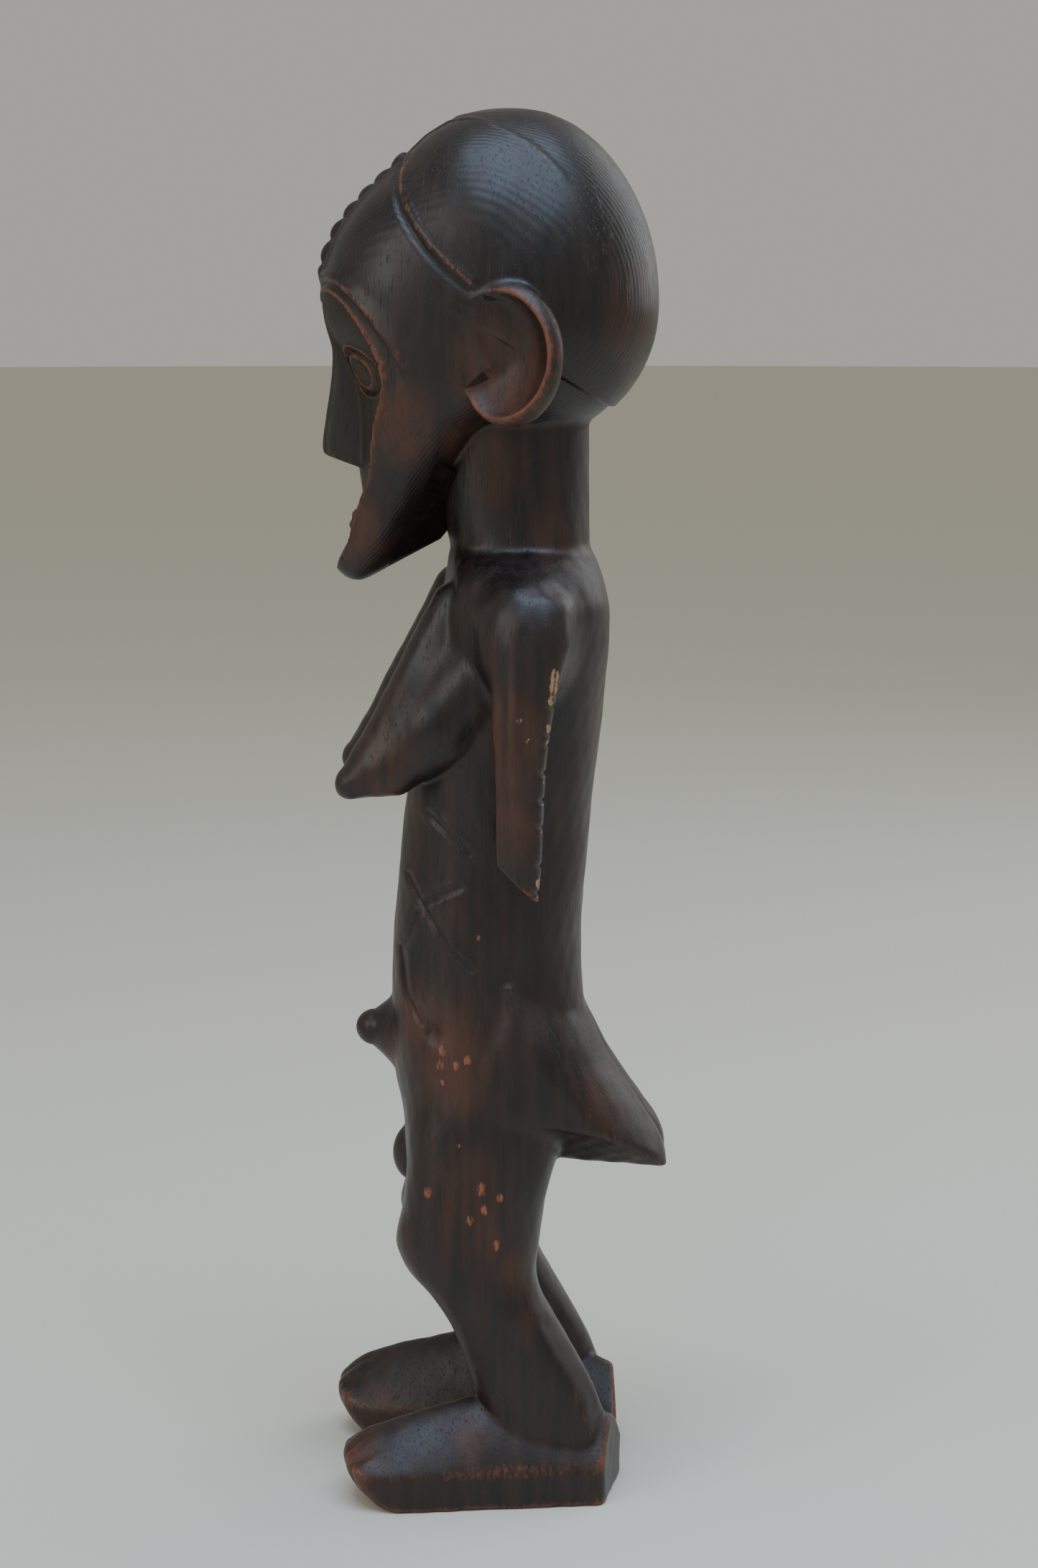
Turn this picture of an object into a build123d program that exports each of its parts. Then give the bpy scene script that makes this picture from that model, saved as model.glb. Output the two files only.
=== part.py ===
"""Standing female figure, carved from one block of dark hardwood.

The figure faces -Y, stands on its two soles at Z = 0 and is modelled in millimetres. Its left side is +X.
It is one piece of wood, so the solids below are its carved regions. Each one ends where the carver changed
plane (hairline, neck base, ankle, edge of the face and so on), and neighbours meet face to face.
"""

from build123d import *
import os

# ---- driving dimensions, millimetres and degrees ---------------------------------------------------
HEIGHT = 350.0  # sole to crown
REACH = 43.6  # from the origin to the brow in front, and to the buttocks behind

DOME_RADII = (31.5, 36.0, 47.5)  # the hair above its widest level
DOME_DROP = 36.0  # from its widest level down to where it would close, behind the ears
DOME_Y = 5.0
RIM_HEIGHT = 0.9  # the hairline rim stands this far proud of the hair
RIM_WIDTH = 2.6
HAIRLINE_POINT = (0.0, -6.0, 306.0)  # on the slanting plane that ends the hair in front
HAIRLINE_NORMAL = (0.0, 0.87, 0.50)
NAPE_POINT = (0.0, 29.8, 276.3)  # on the slanting plane that ends the hair at the nape
NAPE_NORMAL = (0.0, 0.51, 0.86)

NECK_BASE_Z = 239.0
CHEST_BASE_Z = 170.0
WAIST_Z = 112.0
CROTCH_Z = 85.0
KNEE_Z = 54.0

LEG_X = 16.5
FOOT_X = {"left": 20.5, "right": 17.7}  # the right foot stands nearer the middle and turns out further
FOOT_HALF_WIDTH = 13.5
FOOT_WALL = 9.2  # height of the upright side of the foot
SOLE_STOCK = 3.0  # wood below the ground that the flat sole is sawn from
TURNING_Y = 12.0  # the leg stands here, and the foot turns out about it
SPLAY = {"left": 5.0, "right": 14.0}
ARM_X = 35.8
SHIN_FOOT_X = 20.0  # the middle of the shin where it meets the foot
EAR_X = 29.5
EYE_X = 14.0

CREST_BEADS = 8
CREST_TOP = (-21.5, 338.0)  # y, z of the middle of the top bead and the bottom bead
CREST_FOOT = (-41.6, 309.0)
CREST_BULGE = 4.2  # how far the row of beads bows forward of a straight line


# ---- helpers ----------------------------------------------------------------------------------------
def oval(z, front, back, half_width, x=0.0):
    """A level ellipse at height z, reaching from front to back along Y."""
    plane = Plane(origin=(x, (front + back) / 2, z), x_dir=(1, 0, 0), z_dir=(0, 0, 1))
    return plane * Ellipse(half_width, (back - front) / 2)


def upright_oval(y, low, high, half_width, x=0.0):
    """An upright ellipse at the given y, reaching from low to high along Z."""
    plane = Plane(origin=(x, y, (low + high) / 2), x_dir=(1, 0, 0), z_dir=(0, -1, 0))
    return plane * Ellipse(half_width, (high - low) / 2)


def ellipsoid(centre, radii):
    return Pos(*centre) * scale(Sphere(1), by=tuple(radii))


def main_solid(shape):
    """The largest solid of a boolean result, so that no sliver is left beside it."""
    return max(shape.solids(), key=lambda solid: solid.volume)


def without(shape, *neighbours):
    """The shape with its neighbours' wood taken out of it."""
    for neighbour in neighbours:
        shape = main_solid(shape - neighbour)
    return shape


def other_side(shape):
    return mirror(shape, about=Plane.YZ)


# ---- trunk ------------------------------------------------------------------------------------------
def trunk():
    """Chest, abdomen and hips: one loft, parted at the levels where they meet."""
    body = loft(
        [
            oval(CROTCH_Z, -22.5, 15.0, 28.5),
            oval(98.0, -26.2, 23.0, 29.0),
            oval(WAIST_Z, -26.8, 24.8, 27.0),
            oval(128.0, -26.6, 23.2, 24.5),
            oval(148.0, -25.8, 22.8, 22.5),
            oval(CHEST_BASE_Z, -22.8, 24.2, 22.5),
            oval(192.0, -19.5, 26.0, 24.0),
            oval(214.0, -16.5, 28.6, 26.5),
            oval(229.0, -13.6, 28.4, 28.0),
            oval(NECK_BASE_Z, -10.5, 24.5, 20.5),
        ]
    )
    above, below = Keep.TOP, Keep.BOTTOM
    chest_floor, waist = Plane.XY.offset(CHEST_BASE_Z), Plane.XY.offset(WAIST_Z)
    lower = split(body, bisect_by=chest_floor, keep=below)
    return (
        split(body, bisect_by=chest_floor, keep=above),
        split(lower, bisect_by=waist, keep=above),
        split(lower, bisect_by=waist, keep=below),
    )


def breast():
    """A long cone with a flat underside, lying against the chest."""
    return loft(
        [
            oval(181.5, -37.4, -20.0, 6.6, x=16.0),
            oval(184.5, -38.6, -15.0, 9.0, x=15.6),
            oval(196.0, -32.0, -9.0, 11.6, x=14.4),
            oval(212.0, -23.6, -6.0, 10.6, x=13.2),
            oval(228.0, -15.2, -5.0, 6.6, x=12.0),
        ]
    )


def buttock():
    """A shelf standing out behind, flat below and sloping down from the small of the back."""
    return loft(
        [
            upright_oval(12.0, 86.5, 124.0, 14.6, x=14.4),
            upright_oval(24.0, 85.4, 118.0, 14.2, x=14.4),
            upright_oval(34.0, 84.2, 103.0, 12.6, x=13.8),
            upright_oval(41.0, 84.0, 93.4, 10.4, x=13.4),
            upright_oval(REACH, 85.4, 90.0, 7.6, x=13.0),
        ]
    )


def navel():
    """A blunt cone standing out of the belly."""
    return loft(
        [
            upright_oval(-20.0, 105.5, 125.5, 10.0),
            upright_oval(-29.5, 109.5, 123.5, 7.2),
            upright_oval(-35.5, 114.3, 120.3, 3.4),
        ]
    )


# ---- limbs ------------------------------------------------------------------------------------------
def arm():
    """A flat arm that hangs free of the flank and ends in a slanting point, with no hand."""
    limb = loft(
        [
            oval(152.0, 1.0, 11.2, 4.2, x=ARM_X - 0.6),
            oval(176.0, 0.2, 12.4, 4.8, x=ARM_X),
            oval(200.0, -0.6, 13.8, 5.2, x=ARM_X),
            oval(212.0, -0.9, 17.0, 6.8, x=ARM_X - 2.0),
            oval(224.0, -0.6, 22.0, 8.6, x=ARM_X - 6.0),
            oval(234.0, 3.0, 21.0, 8.0, x=ARM_X - 11.0),
        ]
    )
    slant = Plane(origin=(ARM_X, 6.0, 161.8), x_dir=(1, 0, 0), z_dir=(0, 0.62, 0.78))
    return split(limb, bisect_by=slant, keep=Keep.TOP)


def thigh():
    return loft(
        [
            oval(KNEE_Z, -17.4, 10.2, 12.4, x=LEG_X + 1.0),
            oval(64.0, -24.7, 10.8, 13.6, x=LEG_X + 0.6),
            oval(74.0, -23.4, 12.0, 13.8, x=LEG_X),
            oval(CROTCH_Z, -22.0, 14.6, 13.2, x=LEG_X - 1.2),
        ]
    )


def shin():
    """From the knee down and back to the ankle line, which is high in front and low behind."""
    limb = loft(
        [
            oval(8.0, 0.5, 27.0, 9.6, x=SHIN_FOOT_X),
            oval(28.0, -5.6, 23.6, 10.8, x=SHIN_FOOT_X - 0.6),
            oval(42.0, -10.6, 16.4, 11.8, x=SHIN_FOOT_X - 1.6),
            oval(KNEE_Z, -17.4, 10.2, 12.4, x=LEG_X + 1.0),
        ]
    )
    ankle = Plane(origin=(SHIN_FOOT_X, 8.0, 21.0), x_dir=(1, 0, 0), z_dir=(0, 0.35, 0.94))
    return split(limb, bisect_by=ankle, keep=Keep.TOP)


def foot_section(y, half_width, ridge, top_half):
    """The foot's outline across: flat sole, upright sides, then slopes up to a flat top."""
    wall = min(FOOT_WALL, 0.7 * ridge)
    outline = Polyline(
        (-half_width, -SOLE_STOCK),
        (half_width, -SOLE_STOCK),
        (half_width, wall),
        (top_half, ridge),
        (-top_half, ridge),
        (-half_width, wall),
        close=True,
    )
    plane = Plane(origin=(0, y, 0), x_dir=(1, 0, 0), z_dir=(0, -1, 0))
    return plane * make_face(outline)


def foot(x, splay):
    """A thick block of a foot, turned out by splay degrees about the leg and sawn off flat at Z = 0."""
    block = loft(
        [
            foot_section(27.5, 8.6, 18.0, 5.0),
            foot_section(12.0, 11.4, 25.0, 6.2),
            foot_section(-8.0, 13.2, 24.0, 5.0),
            foot_section(-24.0, FOOT_HALF_WIDTH, 19.0, 5.6),
            foot_section(-38.5, 11.4, 11.0, 7.0),
        ]
    )
    placed = Pos(x, TURNING_Y, 0) * Rot(0, 0, splay) * Pos(0, -TURNING_Y, 0) * block
    return split(placed, bisect_by=Plane.XY, keep=Keep.TOP)


# ---- head -------------------------------------------------------------------------------------------
def neck_column():
    """The neck, run up into the head."""
    return loft(
        [
            oval(NECK_BASE_Z, -11.2, 24.0, 17.0),
            oval(256.0, -13.6, 23.6, 16.4),
            oval(282.0, -14.0, 23.8, 16.6),
        ]
    )


def dome(grow=0.0):
    """The hair: a tall half egg above its widest level and a shorter one below, both grown outwards."""
    centre = (0.0, DOME_Y, HEIGHT - DOME_RADII[2])
    level = Plane(origin=centre, x_dir=(1, 0, 0), z_dir=(0, 0, 1))
    above = [radius + grow for radius in DOME_RADII]
    below = [above[0], above[1], DOME_DROP + grow]
    upper = split(ellipsoid(centre, above), bisect_by=level, keep=Keep.TOP)
    lower = split(ellipsoid(centre, below), bisect_by=level, keep=Keep.BOTTOM)
    return main_solid(upper + lower)


def hairline(shift=0.0):
    """The plane that ends the hair in front, moved back along its normal by shift."""
    plane = Plane(origin=HAIRLINE_POINT, x_dir=(1, 0, 0), z_dir=HAIRLINE_NORMAL)
    return plane.offset(shift)


def hair():
    """The smooth dome of hair behind the rim, and the raised rim in front of it with the wood inside it."""
    nape = Plane(origin=NAPE_POINT, x_dir=(1, 0, 0), z_dir=NAPE_NORMAL)
    cap = split(dome(), bisect_by=nape, keep=Keep.TOP)
    cap = split(cap, bisect_by=hairline(RIM_WIDTH), keep=Keep.TOP)
    ring = split(dome(RIM_HEIGHT), bisect_by=hairline(), keep=Keep.TOP)
    ring = split(ring, bisect_by=hairline(RIM_WIDTH), keep=Keep.BOTTOM)
    ring = split(ring, bisect_by=nape, keep=Keep.TOP)
    return main_solid(cap), main_solid(ring)


def head_block():
    """Forehead, temples, cheeks and jaw as one loft."""
    return loft(
        [
            oval(233.6, -37.0, -31.5, 4.0),
            oval(238.0, -40.0, -25.5, 8.2),
            oval(247.0, -37.0, -17.0, 13.4),
            oval(258.0, -35.6, -3.0, 19.0),
            oval(272.0, -37.0, 20.0, 24.6),
            oval(290.0, -40.2, 30.0, 28.0),
            oval(305.0, -REACH, 31.0, 28.4),
            oval(320.0, -39.0, 29.0, 26.0),
            oval(334.0, -27.0, 22.0, 19.5),
            oval(343.0, -16.0, 14.0, 10.0),
        ]
    )


def face_prism():
    """The heart-shaped front outline of the face plane, run back through the head."""
    half = [(0, 303), (7, 307), (15, 306), (21.5, 299), (23, 287), (20.5, 270), (14, 252), (8, 239), (0, 230)]
    right_half = [(-x, z) for x, z in reversed(half[1:-1])]
    outline = Spline([half[0], *half[1:], *right_half], periodic=True)
    front = Plane(origin=(0, -60.0, 0), x_dir=(1, 0, 0), z_dir=(0, -1, 0))
    return extrude(front * make_face(outline), amount=-36.0)


def nose():
    return loft(
        [
            oval(260.8, -41.6, -30.0, 5.6),
            oval(266.0, -43.2, -30.0, 5.4),
            oval(280.0, -42.4, -32.0, 3.6),
            oval(294.0, -41.8, -35.0, 2.0),
        ]
    )


def crest():
    """A row of beads standing along the middle of the forehead, run together into one ridge."""
    ridge = None
    for i in range(CREST_BEADS):
        t = i / (CREST_BEADS - 1)
        y = CREST_TOP[0] + (CREST_FOOT[0] - CREST_TOP[0]) * t - CREST_BULGE * 4 * t * (1 - t) * 0.8
        z = CREST_TOP[1] + (CREST_FOOT[1] - CREST_TOP[1]) * t + CREST_BULGE * 4 * t * (1 - t) * 0.6
        bead = ellipsoid((0, y, z), (3.8, 3.0, 3.0))
        ridge = bead if ridge is None else ridge + bead
    return ridge


def ear():
    """A big cupped ear, straight in front and round behind, standing out from the head."""
    shell = ellipsoid((EAR_X, 3.0, 290.0), (10.2, 13.6, 17.4))
    hollow = ellipsoid((EAR_X + 9.0, -0.5, 290.0), (6.5, 10.0, 13.2))
    front = Plane(origin=(0, -7.6, 0), x_dir=(1, 0, 0), z_dir=(0, 1, 0))
    return split(shell - hollow, bisect_by=front, keep=Keep.TOP)


# ---- assembly ---------------------------------------------------------------------------------------
def build():
    nodes = {}
    chest, abdomen, hips = trunk()
    hair_cap, rim = hair()
    block, prism = head_block(), face_prism()
    face = main_solid(block & prism)
    skull = without(block - prism, hair_cap, rim)
    neck = without(neck_column(), hair_cap, rim, skull, face)
    nodes.update(chest=chest, abdomen=abdomen, hips=hips, neck=neck)
    nodes.update(hair_dome=hair_cap, hairline_rim=rim, skull=skull, face=face)
    nodes["nose"] = without(nose(), face)
    nodes["mouth"] = without(ellipsoid((0, -35.0, 248.0), (6.5, 3.0, 3.4)), face)
    nodes["forehead_crest"] = without(crest(), skull, face, hair_cap, rim)
    nodes["navel"] = without(navel(), abdomen, hips)
    nodes["pubic_boss"] = without(ellipsoid((0, -19.5, 82.0), (6.0, 6.4, 8.5)), hips)
    left = {
        "eye": without(ellipsoid((EYE_X, -32.0, 286.0), (4.6, 3.0, 6.2)), face),
        "ear": without(ear(), skull, hair_cap, rim),
        "breast": without(breast(), chest),
        "buttock": without(buttock(), hips, abdomen),
        "arm": without(arm(), chest),
        "thigh": thigh(),
        "shin": shin(),
    }
    left["thigh"] = without(left["thigh"], left["buttock"])
    for name, shape in left.items():
        nodes["left_" + name] = shape
        nodes["right_" + name] = other_side(shape)
    left_foot = foot(FOOT_X["left"], SPLAY["left"])
    right_foot = other_side(foot(FOOT_X["right"], SPLAY["right"]))
    nodes["left_foot"] = without(left_foot, nodes["left_shin"])
    nodes["right_foot"] = without(right_foot, nodes["right_shin"])
    return nodes


os.makedirs("parts", exist_ok=True)
for name, shape in build().items():
    shape.label = name
    export_step(shape, f"parts/{name}.step")
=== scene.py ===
"""Carved standing figure: the finished look of one block of dark hardwood, sawn into its named regions.

The whole figure is described once as a field of signed distances, in millimetres: below zero is wood. The
block is meshed from that field, and each operator then saws its own pieces off the block and finishes them.
"""

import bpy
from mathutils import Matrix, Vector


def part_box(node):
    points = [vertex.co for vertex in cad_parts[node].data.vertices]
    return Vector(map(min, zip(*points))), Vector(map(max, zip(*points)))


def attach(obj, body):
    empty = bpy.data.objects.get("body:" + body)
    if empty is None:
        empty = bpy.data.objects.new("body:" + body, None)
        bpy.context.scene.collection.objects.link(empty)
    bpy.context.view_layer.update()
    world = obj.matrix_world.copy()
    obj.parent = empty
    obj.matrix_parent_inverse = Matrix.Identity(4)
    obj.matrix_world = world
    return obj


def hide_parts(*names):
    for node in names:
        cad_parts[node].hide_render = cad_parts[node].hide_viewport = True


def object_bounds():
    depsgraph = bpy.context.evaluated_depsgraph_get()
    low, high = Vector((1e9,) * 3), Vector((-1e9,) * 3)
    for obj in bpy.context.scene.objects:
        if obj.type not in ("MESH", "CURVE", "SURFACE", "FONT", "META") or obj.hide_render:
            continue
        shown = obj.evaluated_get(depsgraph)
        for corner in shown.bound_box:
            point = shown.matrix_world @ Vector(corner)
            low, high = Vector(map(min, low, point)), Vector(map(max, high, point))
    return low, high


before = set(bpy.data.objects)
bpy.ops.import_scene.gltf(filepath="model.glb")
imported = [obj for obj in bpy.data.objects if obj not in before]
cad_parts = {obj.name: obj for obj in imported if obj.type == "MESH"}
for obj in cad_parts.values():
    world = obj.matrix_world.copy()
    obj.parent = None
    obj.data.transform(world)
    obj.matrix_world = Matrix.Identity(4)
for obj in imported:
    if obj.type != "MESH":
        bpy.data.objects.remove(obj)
CAD_BOX = [list(corner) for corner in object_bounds()]

import math

import bpy
import numpy as np
import openvdb
from bpy.props import FloatProperty, FloatVectorProperty, PointerProperty
from mathutils import Vector

bl_info = {
    "name": "Carved Standing Figure",
    "version": (1, 0, 0),
    "blender": (4, 5, 0),
    "location": "3D View > Sidebar > Carving",
    "description": "Carves a standing figure from one block of dark wood, with a worn patina",
    "category": "Add Mesh",
}

MM = 0.001
FAR = 20.0  # a distance that stands for "nowhere near", mm


def foot_of(node):
    """The height at which a node begins, mm."""
    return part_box(node)[0][2] / MM


NECK_BASE = foot_of("neck")
CHEST_BASE = foot_of("chest")
WAIST = foot_of("abdomen")
CROTCH = foot_of("hips")
KNEE = foot_of("left_thigh")
ARM_LEVELS = (146, 240)  # the arms lie between these heights, mm
BREAST_LEVEL = 172  # the breasts lie above this one
BUTTOCK_LEVEL = 74  # and the buttocks above this one
FOOT_LEVEL = 40  # the feet lie below this one
BLOCK_LOW = np.array(CAD_BOX[0]) / MM
BLOCK_HIGH = np.array(CAD_BOX[1]) / MM


# ---- field arithmetic ----
def join(a, b, k):
    """Both woods together, with a fillet about k wide where they meet."""
    h = np.clip(0.5 + 0.5 * (b - a) / k, 0.0, 1.0)
    return b + (a - b) * h - k * h * (1.0 - h)


def common(a, b, k):
    """Only the wood that is in both, with the edge eased by k."""
    return -join(-a, -b, k)


def cut_away(a, b, k):
    """The first wood without the second."""
    return -join(-a, b, k)


def fade(value, start, end):
    """0 at start and before it, 1 at end and past it, with a smooth passage between."""
    t = np.clip((value - start) / (end - start), 0.0, 1.0)
    return t * t * (3.0 - 2.0 * t)


def bump(distance, width):
    """1 where the distance is 0, and next to nothing from twice the width on."""
    return np.exp(-((distance / width) ** 2))


def curve(t, rows):
    """Columns of a smooth curve through rows, whose first column is the station t."""
    table = np.array(rows, dtype=float)
    knots, values = table[:, 0], table[:, 1:]
    slopes = np.gradient(values, knots, axis=0)
    i = np.clip(np.searchsorted(knots, t) - 1, 0, len(knots) - 2)
    span = knots[i + 1] - knots[i]
    s = np.clip((t - knots[i]) / span, 0.0, 1.0)
    rise, s2, s3 = 3 * s**2 - 2 * s**3, s**2, s**3
    columns = []
    for c in range(values.shape[1]):
        v, m = values[:, c], slopes[:, c]
        bend = (s3 - 2 * s2 + s) * span * m[i] + (s3 - s2) * span * m[i + 1]
        columns.append(v[i] * (1 - rise) + v[i + 1] * rise + bend)
    return columns


def section(x, y, front, back, half_width, power):
    """Distance to a level outline that reaches from front to back along Y."""
    centre, half_depth = (front + back) / 2, (back - front) / 2
    ratio = (np.abs(x / half_width) ** power + np.abs((y - centre) / half_depth) ** power) ** (1 / power)
    return (np.hypot(x, y - centre) + 1e-3) * (1 - 1 / (ratio + 1e-5))


def egg(p, centre, radii):
    """Distance to an ellipsoid."""
    offsets = [axis - c for axis, c in zip(p, centre)]
    k0 = np.sqrt(sum((o / r) ** 2 for o, r in zip(offsets, radii)))
    k1 = np.sqrt(sum((o / r**2) ** 2 for o, r in zip(offsets, radii)))
    return (k0 + 1e-4) * (k0 - 1) / (k1 + 1e-5)


def nearest(p, start, end):
    """The nearest place on a straight line, as a share of its length, and the distance to it."""
    start, end = np.array(start), np.array(end)
    axis = end - start
    offsets = [coordinate - s for coordinate, s in zip(p, start)]
    t = np.clip(sum(o * a for o, a in zip(offsets, axis)) / (axis @ axis), 0.0, 1.0)
    return t, np.sqrt(sum((o - t * a) ** 2 for o, a in zip(offsets, axis)))


def taper(p, start, end, start_radius, end_radius):
    """Distance to a round bar that goes from one radius to another."""
    t, gap = nearest(p, start, end)
    return gap - (start_radius + (end_radius - start_radius) * t)


def line_distance(a, b, points):
    """Distance in the plane (a, b) to a run of straight lines."""
    best = np.full(np.shape(a), 1e9)
    for (a0, b0), (a1, b1) in zip(points, points[1:]):
        da, db = a1 - a0, b1 - b0
        t = np.clip(((a - a0) * da + (b - b0) * db) / (da * da + db * db), 0.0, 1.0)
        best = np.minimum(best, np.hypot(a - a0 - t * da, b - b0 - t * db))
    return best


def outline_distance(a, b, points):
    """Distance in the plane to a closed outline, below zero inside it."""
    ring = list(points) + [points[0]]
    inside = np.zeros(np.shape(a), dtype=bool)
    for (a0, b0), (a1, b1) in zip(ring, ring[1:]):
        crosses = (b0 > b) != (b1 > b)
        slope = (a1 - a0) / (b1 - b0) if b1 != b0 else 0.0
        inside ^= crosses & (a < a0 + (b - b0) * slope)
    return np.where(inside, -1.0, 1.0) * line_distance(a, b, ring)


def rounded(points, passes=2):
    """A closed outline with its corners cut back evenly."""
    points = np.array(points, dtype=float)
    for _ in range(passes):
        ahead = np.roll(points, -1, axis=0)
        points = np.stack([0.75 * points + 0.25 * ahead, 0.25 * points + 0.75 * ahead], axis=1)
        points = points.reshape(-1, 2)
    return [tuple(point) for point in points]


def between(p, bottom, top, field):
    """The field where it is near its levels, and FAR elsewhere."""
    near = (p[2] > bottom) & (p[2] < top)
    result = np.full(p[0].shape, FAR)
    result[near] = field(tuple(axis[near] for axis in p))
    return result


# ---- trunk ----
# Stations up the trunk: height, front, back, half width, squareness.
TRUNK = [
    (76, -20.5, 13.0, 25.5, 2.5),
    (86, -23.0, 16.5, 27.8, 2.6),
    (98, -24.0, 21.5, 28.6, 2.5),
    (108, -25.9, 24.0, 27.8, 2.4),
    (120, -26.7, 23.6, 26.0, 2.4),
    (134, -26.3, 22.2, 24.4, 2.3),
    (150, -25.6, 22.6, 23.6, 2.3),
    (164, -24.2, 23.6, 23.6, 2.3),
    (178, -22.6, 24.9, 24.2, 2.3),
    (194, -19.4, 26.6, 25.4, 2.4),
    (208, -16.6, 28.1, 27.2, 2.5),
    (220, -14.4, 28.8, 29.2, 2.7),
    (230, -12.7, 28.2, 29.8, 2.8),
    (236, -11.8, 26.4, 27.0, 2.6),
    (241, -11.2, 24.2, 20.5, 2.3),
]


def trunk(p):
    x, y, z = p
    front, back, half_width, power = curve(z, TRUNK)
    body = section(x, y, front, back, half_width, power)
    body = common(body, z - NECK_BASE - 1.6, 3.0)
    body = common(body, CROTCH - 5.5 - z + 0.004 * x**2, 6.0)
    shoulder = egg((np.abs(x), y, z), (29.6, 7.6, 220.5), (10.6, 11.8, 15.6))
    body = join(body, shoulder, 6.0)
    spine = bump(x, 3.2) * fade(y, 8, 18) * fade(z, 118, 132) * (1 - fade(z, 226, 238))
    return body + 0.9 * spine


def breast(p):
    """A long cone from the collar to a blunt point, nearly flat below."""
    x, y, z = np.abs(p[0]), p[1], p[2] - np.where(p[0] < 0, 1.6, 0.0)
    point = taper((x, y, z), (17.6, -36.0, 182.9), (17.0, -27.2, 187.0), 3.1, 7.4)
    body = taper((x, y, z), (17.0, -27.2, 187.6), (15.6, -14.5, 198.0), 7.3, 11.6)
    root = taper((x, y, z), (15.6, -14.5, 198.0), (14.6, -1.0, 211.0), 11.6, 13.2)
    whole = join(join(point, body, 1.5), root, 3.0)
    ridge = taper((x, y, z), (17.3, -34.4, 185.3), (12.5, -9.2, 227.5), 3.3, 7.0)
    whole = join(whole, ridge, 6.0)
    return common(whole, 179.4 + 0.08 * (y + 36.0) - z, 2.4)


def navel(p):
    return taper(p, (0, -25.4, 117.2), (0, -31.4, 117.6), 9.8, 4.7)


def pubic_boss(p):
    return egg(p, (0, -20.3, 84.5), (5.6, 6.4, 8.2))


def buttock(p):
    """A shelf behind, flat below, with a bevelled lower side and a cleft between its two halves."""
    x, y, z = np.abs(p[0]), p[1], p[2]
    fall = 0.030 * np.maximum(x - 8.0, 0.0) ** 2
    top = 0.83 * (y - 26.4) + 0.556 * (z - 115.0) + fall
    shelf = common(top, y - 43.9, 3.0)
    side = x - 28.4 + 0.12 * np.maximum(y - 6.0, 0.0) + 0.35 * np.maximum(10.0 - y, 0.0)
    bevel = 0.62 * side - 0.785 * (z - 98.0 + 0.24 * (y - 14.0))
    shelf = common(shelf, common(side, bevel, 0.7), 2.5)
    shelf = common(shelf, 84.1 - z + 0.06 * (39.0 - y), 1.4)
    shelf = common(shelf, 2.0 - y, 3.0)
    return common(shelf, 0.4 - x, 4.5)


# ---- limbs ----
# Stations up the arm: height, front, back, middle of its thickness, half thickness.
ARM = [
    (150, 1.2, 10.4, 35.2, 4.3),
    (166, 0.6, 11.4, 35.3, 4.5),
    (182, 0.2, 12.2, 35.6, 4.8),
    (198, -0.4, 13.4, 35.8, 5.2),
    (210, -0.7, 15.6, 35.0, 6.0),
    (220, -0.6, 18.5, 33.0, 7.4),
    (230, 1.5, 18.5, 29.5, 8.0),
]
# Stations up the leg: height, front, back, middle, half width, squareness.
LEG = [
    (4, 1.5, 29.5, 20.4, 9.2, 2.8),
    (20, -2.8, 28.0, 20.2, 9.4, 2.8),
    (28, -5.4, 25.0, 19.9, 10.0, 2.7),
    (37, -8.4, 20.2, 19.4, 11.2, 2.6),
    (46, -12.4, 15.2, 18.9, 12.3, 2.5),
    (53, -17.0, 11.6, 18.5, 12.9, 2.4),
    (59, -22.2, 10.4, 18.0, 13.4, 2.3),
    (65, -24.9, 11.0, 17.5, 13.7, 2.3),
    (75, -23.7, 12.4, 16.7, 13.8, 2.4),
    (86, -22.5, 14.8, 15.8, 13.7, 2.5),
    (98, -21.4, 15.6, 14.6, 13.0, 2.4),
    (110, -18.0, 13.0, 13.0, 10.5, 2.3),
]
# Stations along the foot: distance back, height of its ridge, half width.
FOOT = [
    (-40, 12.6, 12.4),
    (-35, 17.0, 13.2),
    (-26, 20.6, 13.7),
    (-14, 23.8, 13.5),
    (-4, 26.2, 13.0),
    (8, 26.0, 12.9),
    (20, 23.5, 12.6),
    (33, 19.0, 12.0),
]
FOOT_WALL = 9.4
TURNING_Y = 12.0
# By side: middle of the leg, degrees turned out, length and height against the left foot.
FOOT_PLACE = {1: (20.5, 5.0, 1.0, 1.0), -1: (17.7, 14.0, 1.09, 1.22)}
TOE_WIDTH = 5.3


def arm(p):
    """A flat arm with a narrow front facet, a sharp back edge and a slanting point for a hand."""
    x, y, z = np.abs(p[0]), p[1], p[2]
    front, back, centre, half_width = curve(z, ARM)
    limb = section(x - centre, y, front, back, half_width, 2.9)
    facet = 0.779 * (x - centre - half_width + 0.4) - 0.627 * (y - front - 4.6)
    limb = common(limb, facet, 0.9)
    slant = 0.66 * (7.0 - y) + 0.75 * (160.2 - z)
    limb = common(limb, slant, 0.7)
    edge_chips = bump(y - back + 0.6, 1.3) * np.maximum(np.sin(z * 1.9) + np.sin(z * 0.83 + 1.0) - 0.6, 0.0)
    limb = limb + 0.55 * edge_chips * (1 - fade(z, 204, 212))
    return common(limb, z - 232.0, 4.0)


def leg(p, side):
    """Thigh, bent knee and shin of one side, the shin with a flat facet behind."""
    x, y, z = side * p[0], p[1], p[2]
    front, back, centre, half_width, power = curve(z, LEG)
    limb = section(x - centre, y, front, back, half_width, power)
    facet = 0.5 * (x - centre - half_width + 0.8) + 0.87 * (y - back + 4.6)
    facet = facet - 8.0 * fade(z, 46, 60)
    return common(common(limb, facet, 0.9), 3.0 - z, 0.9)


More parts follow.
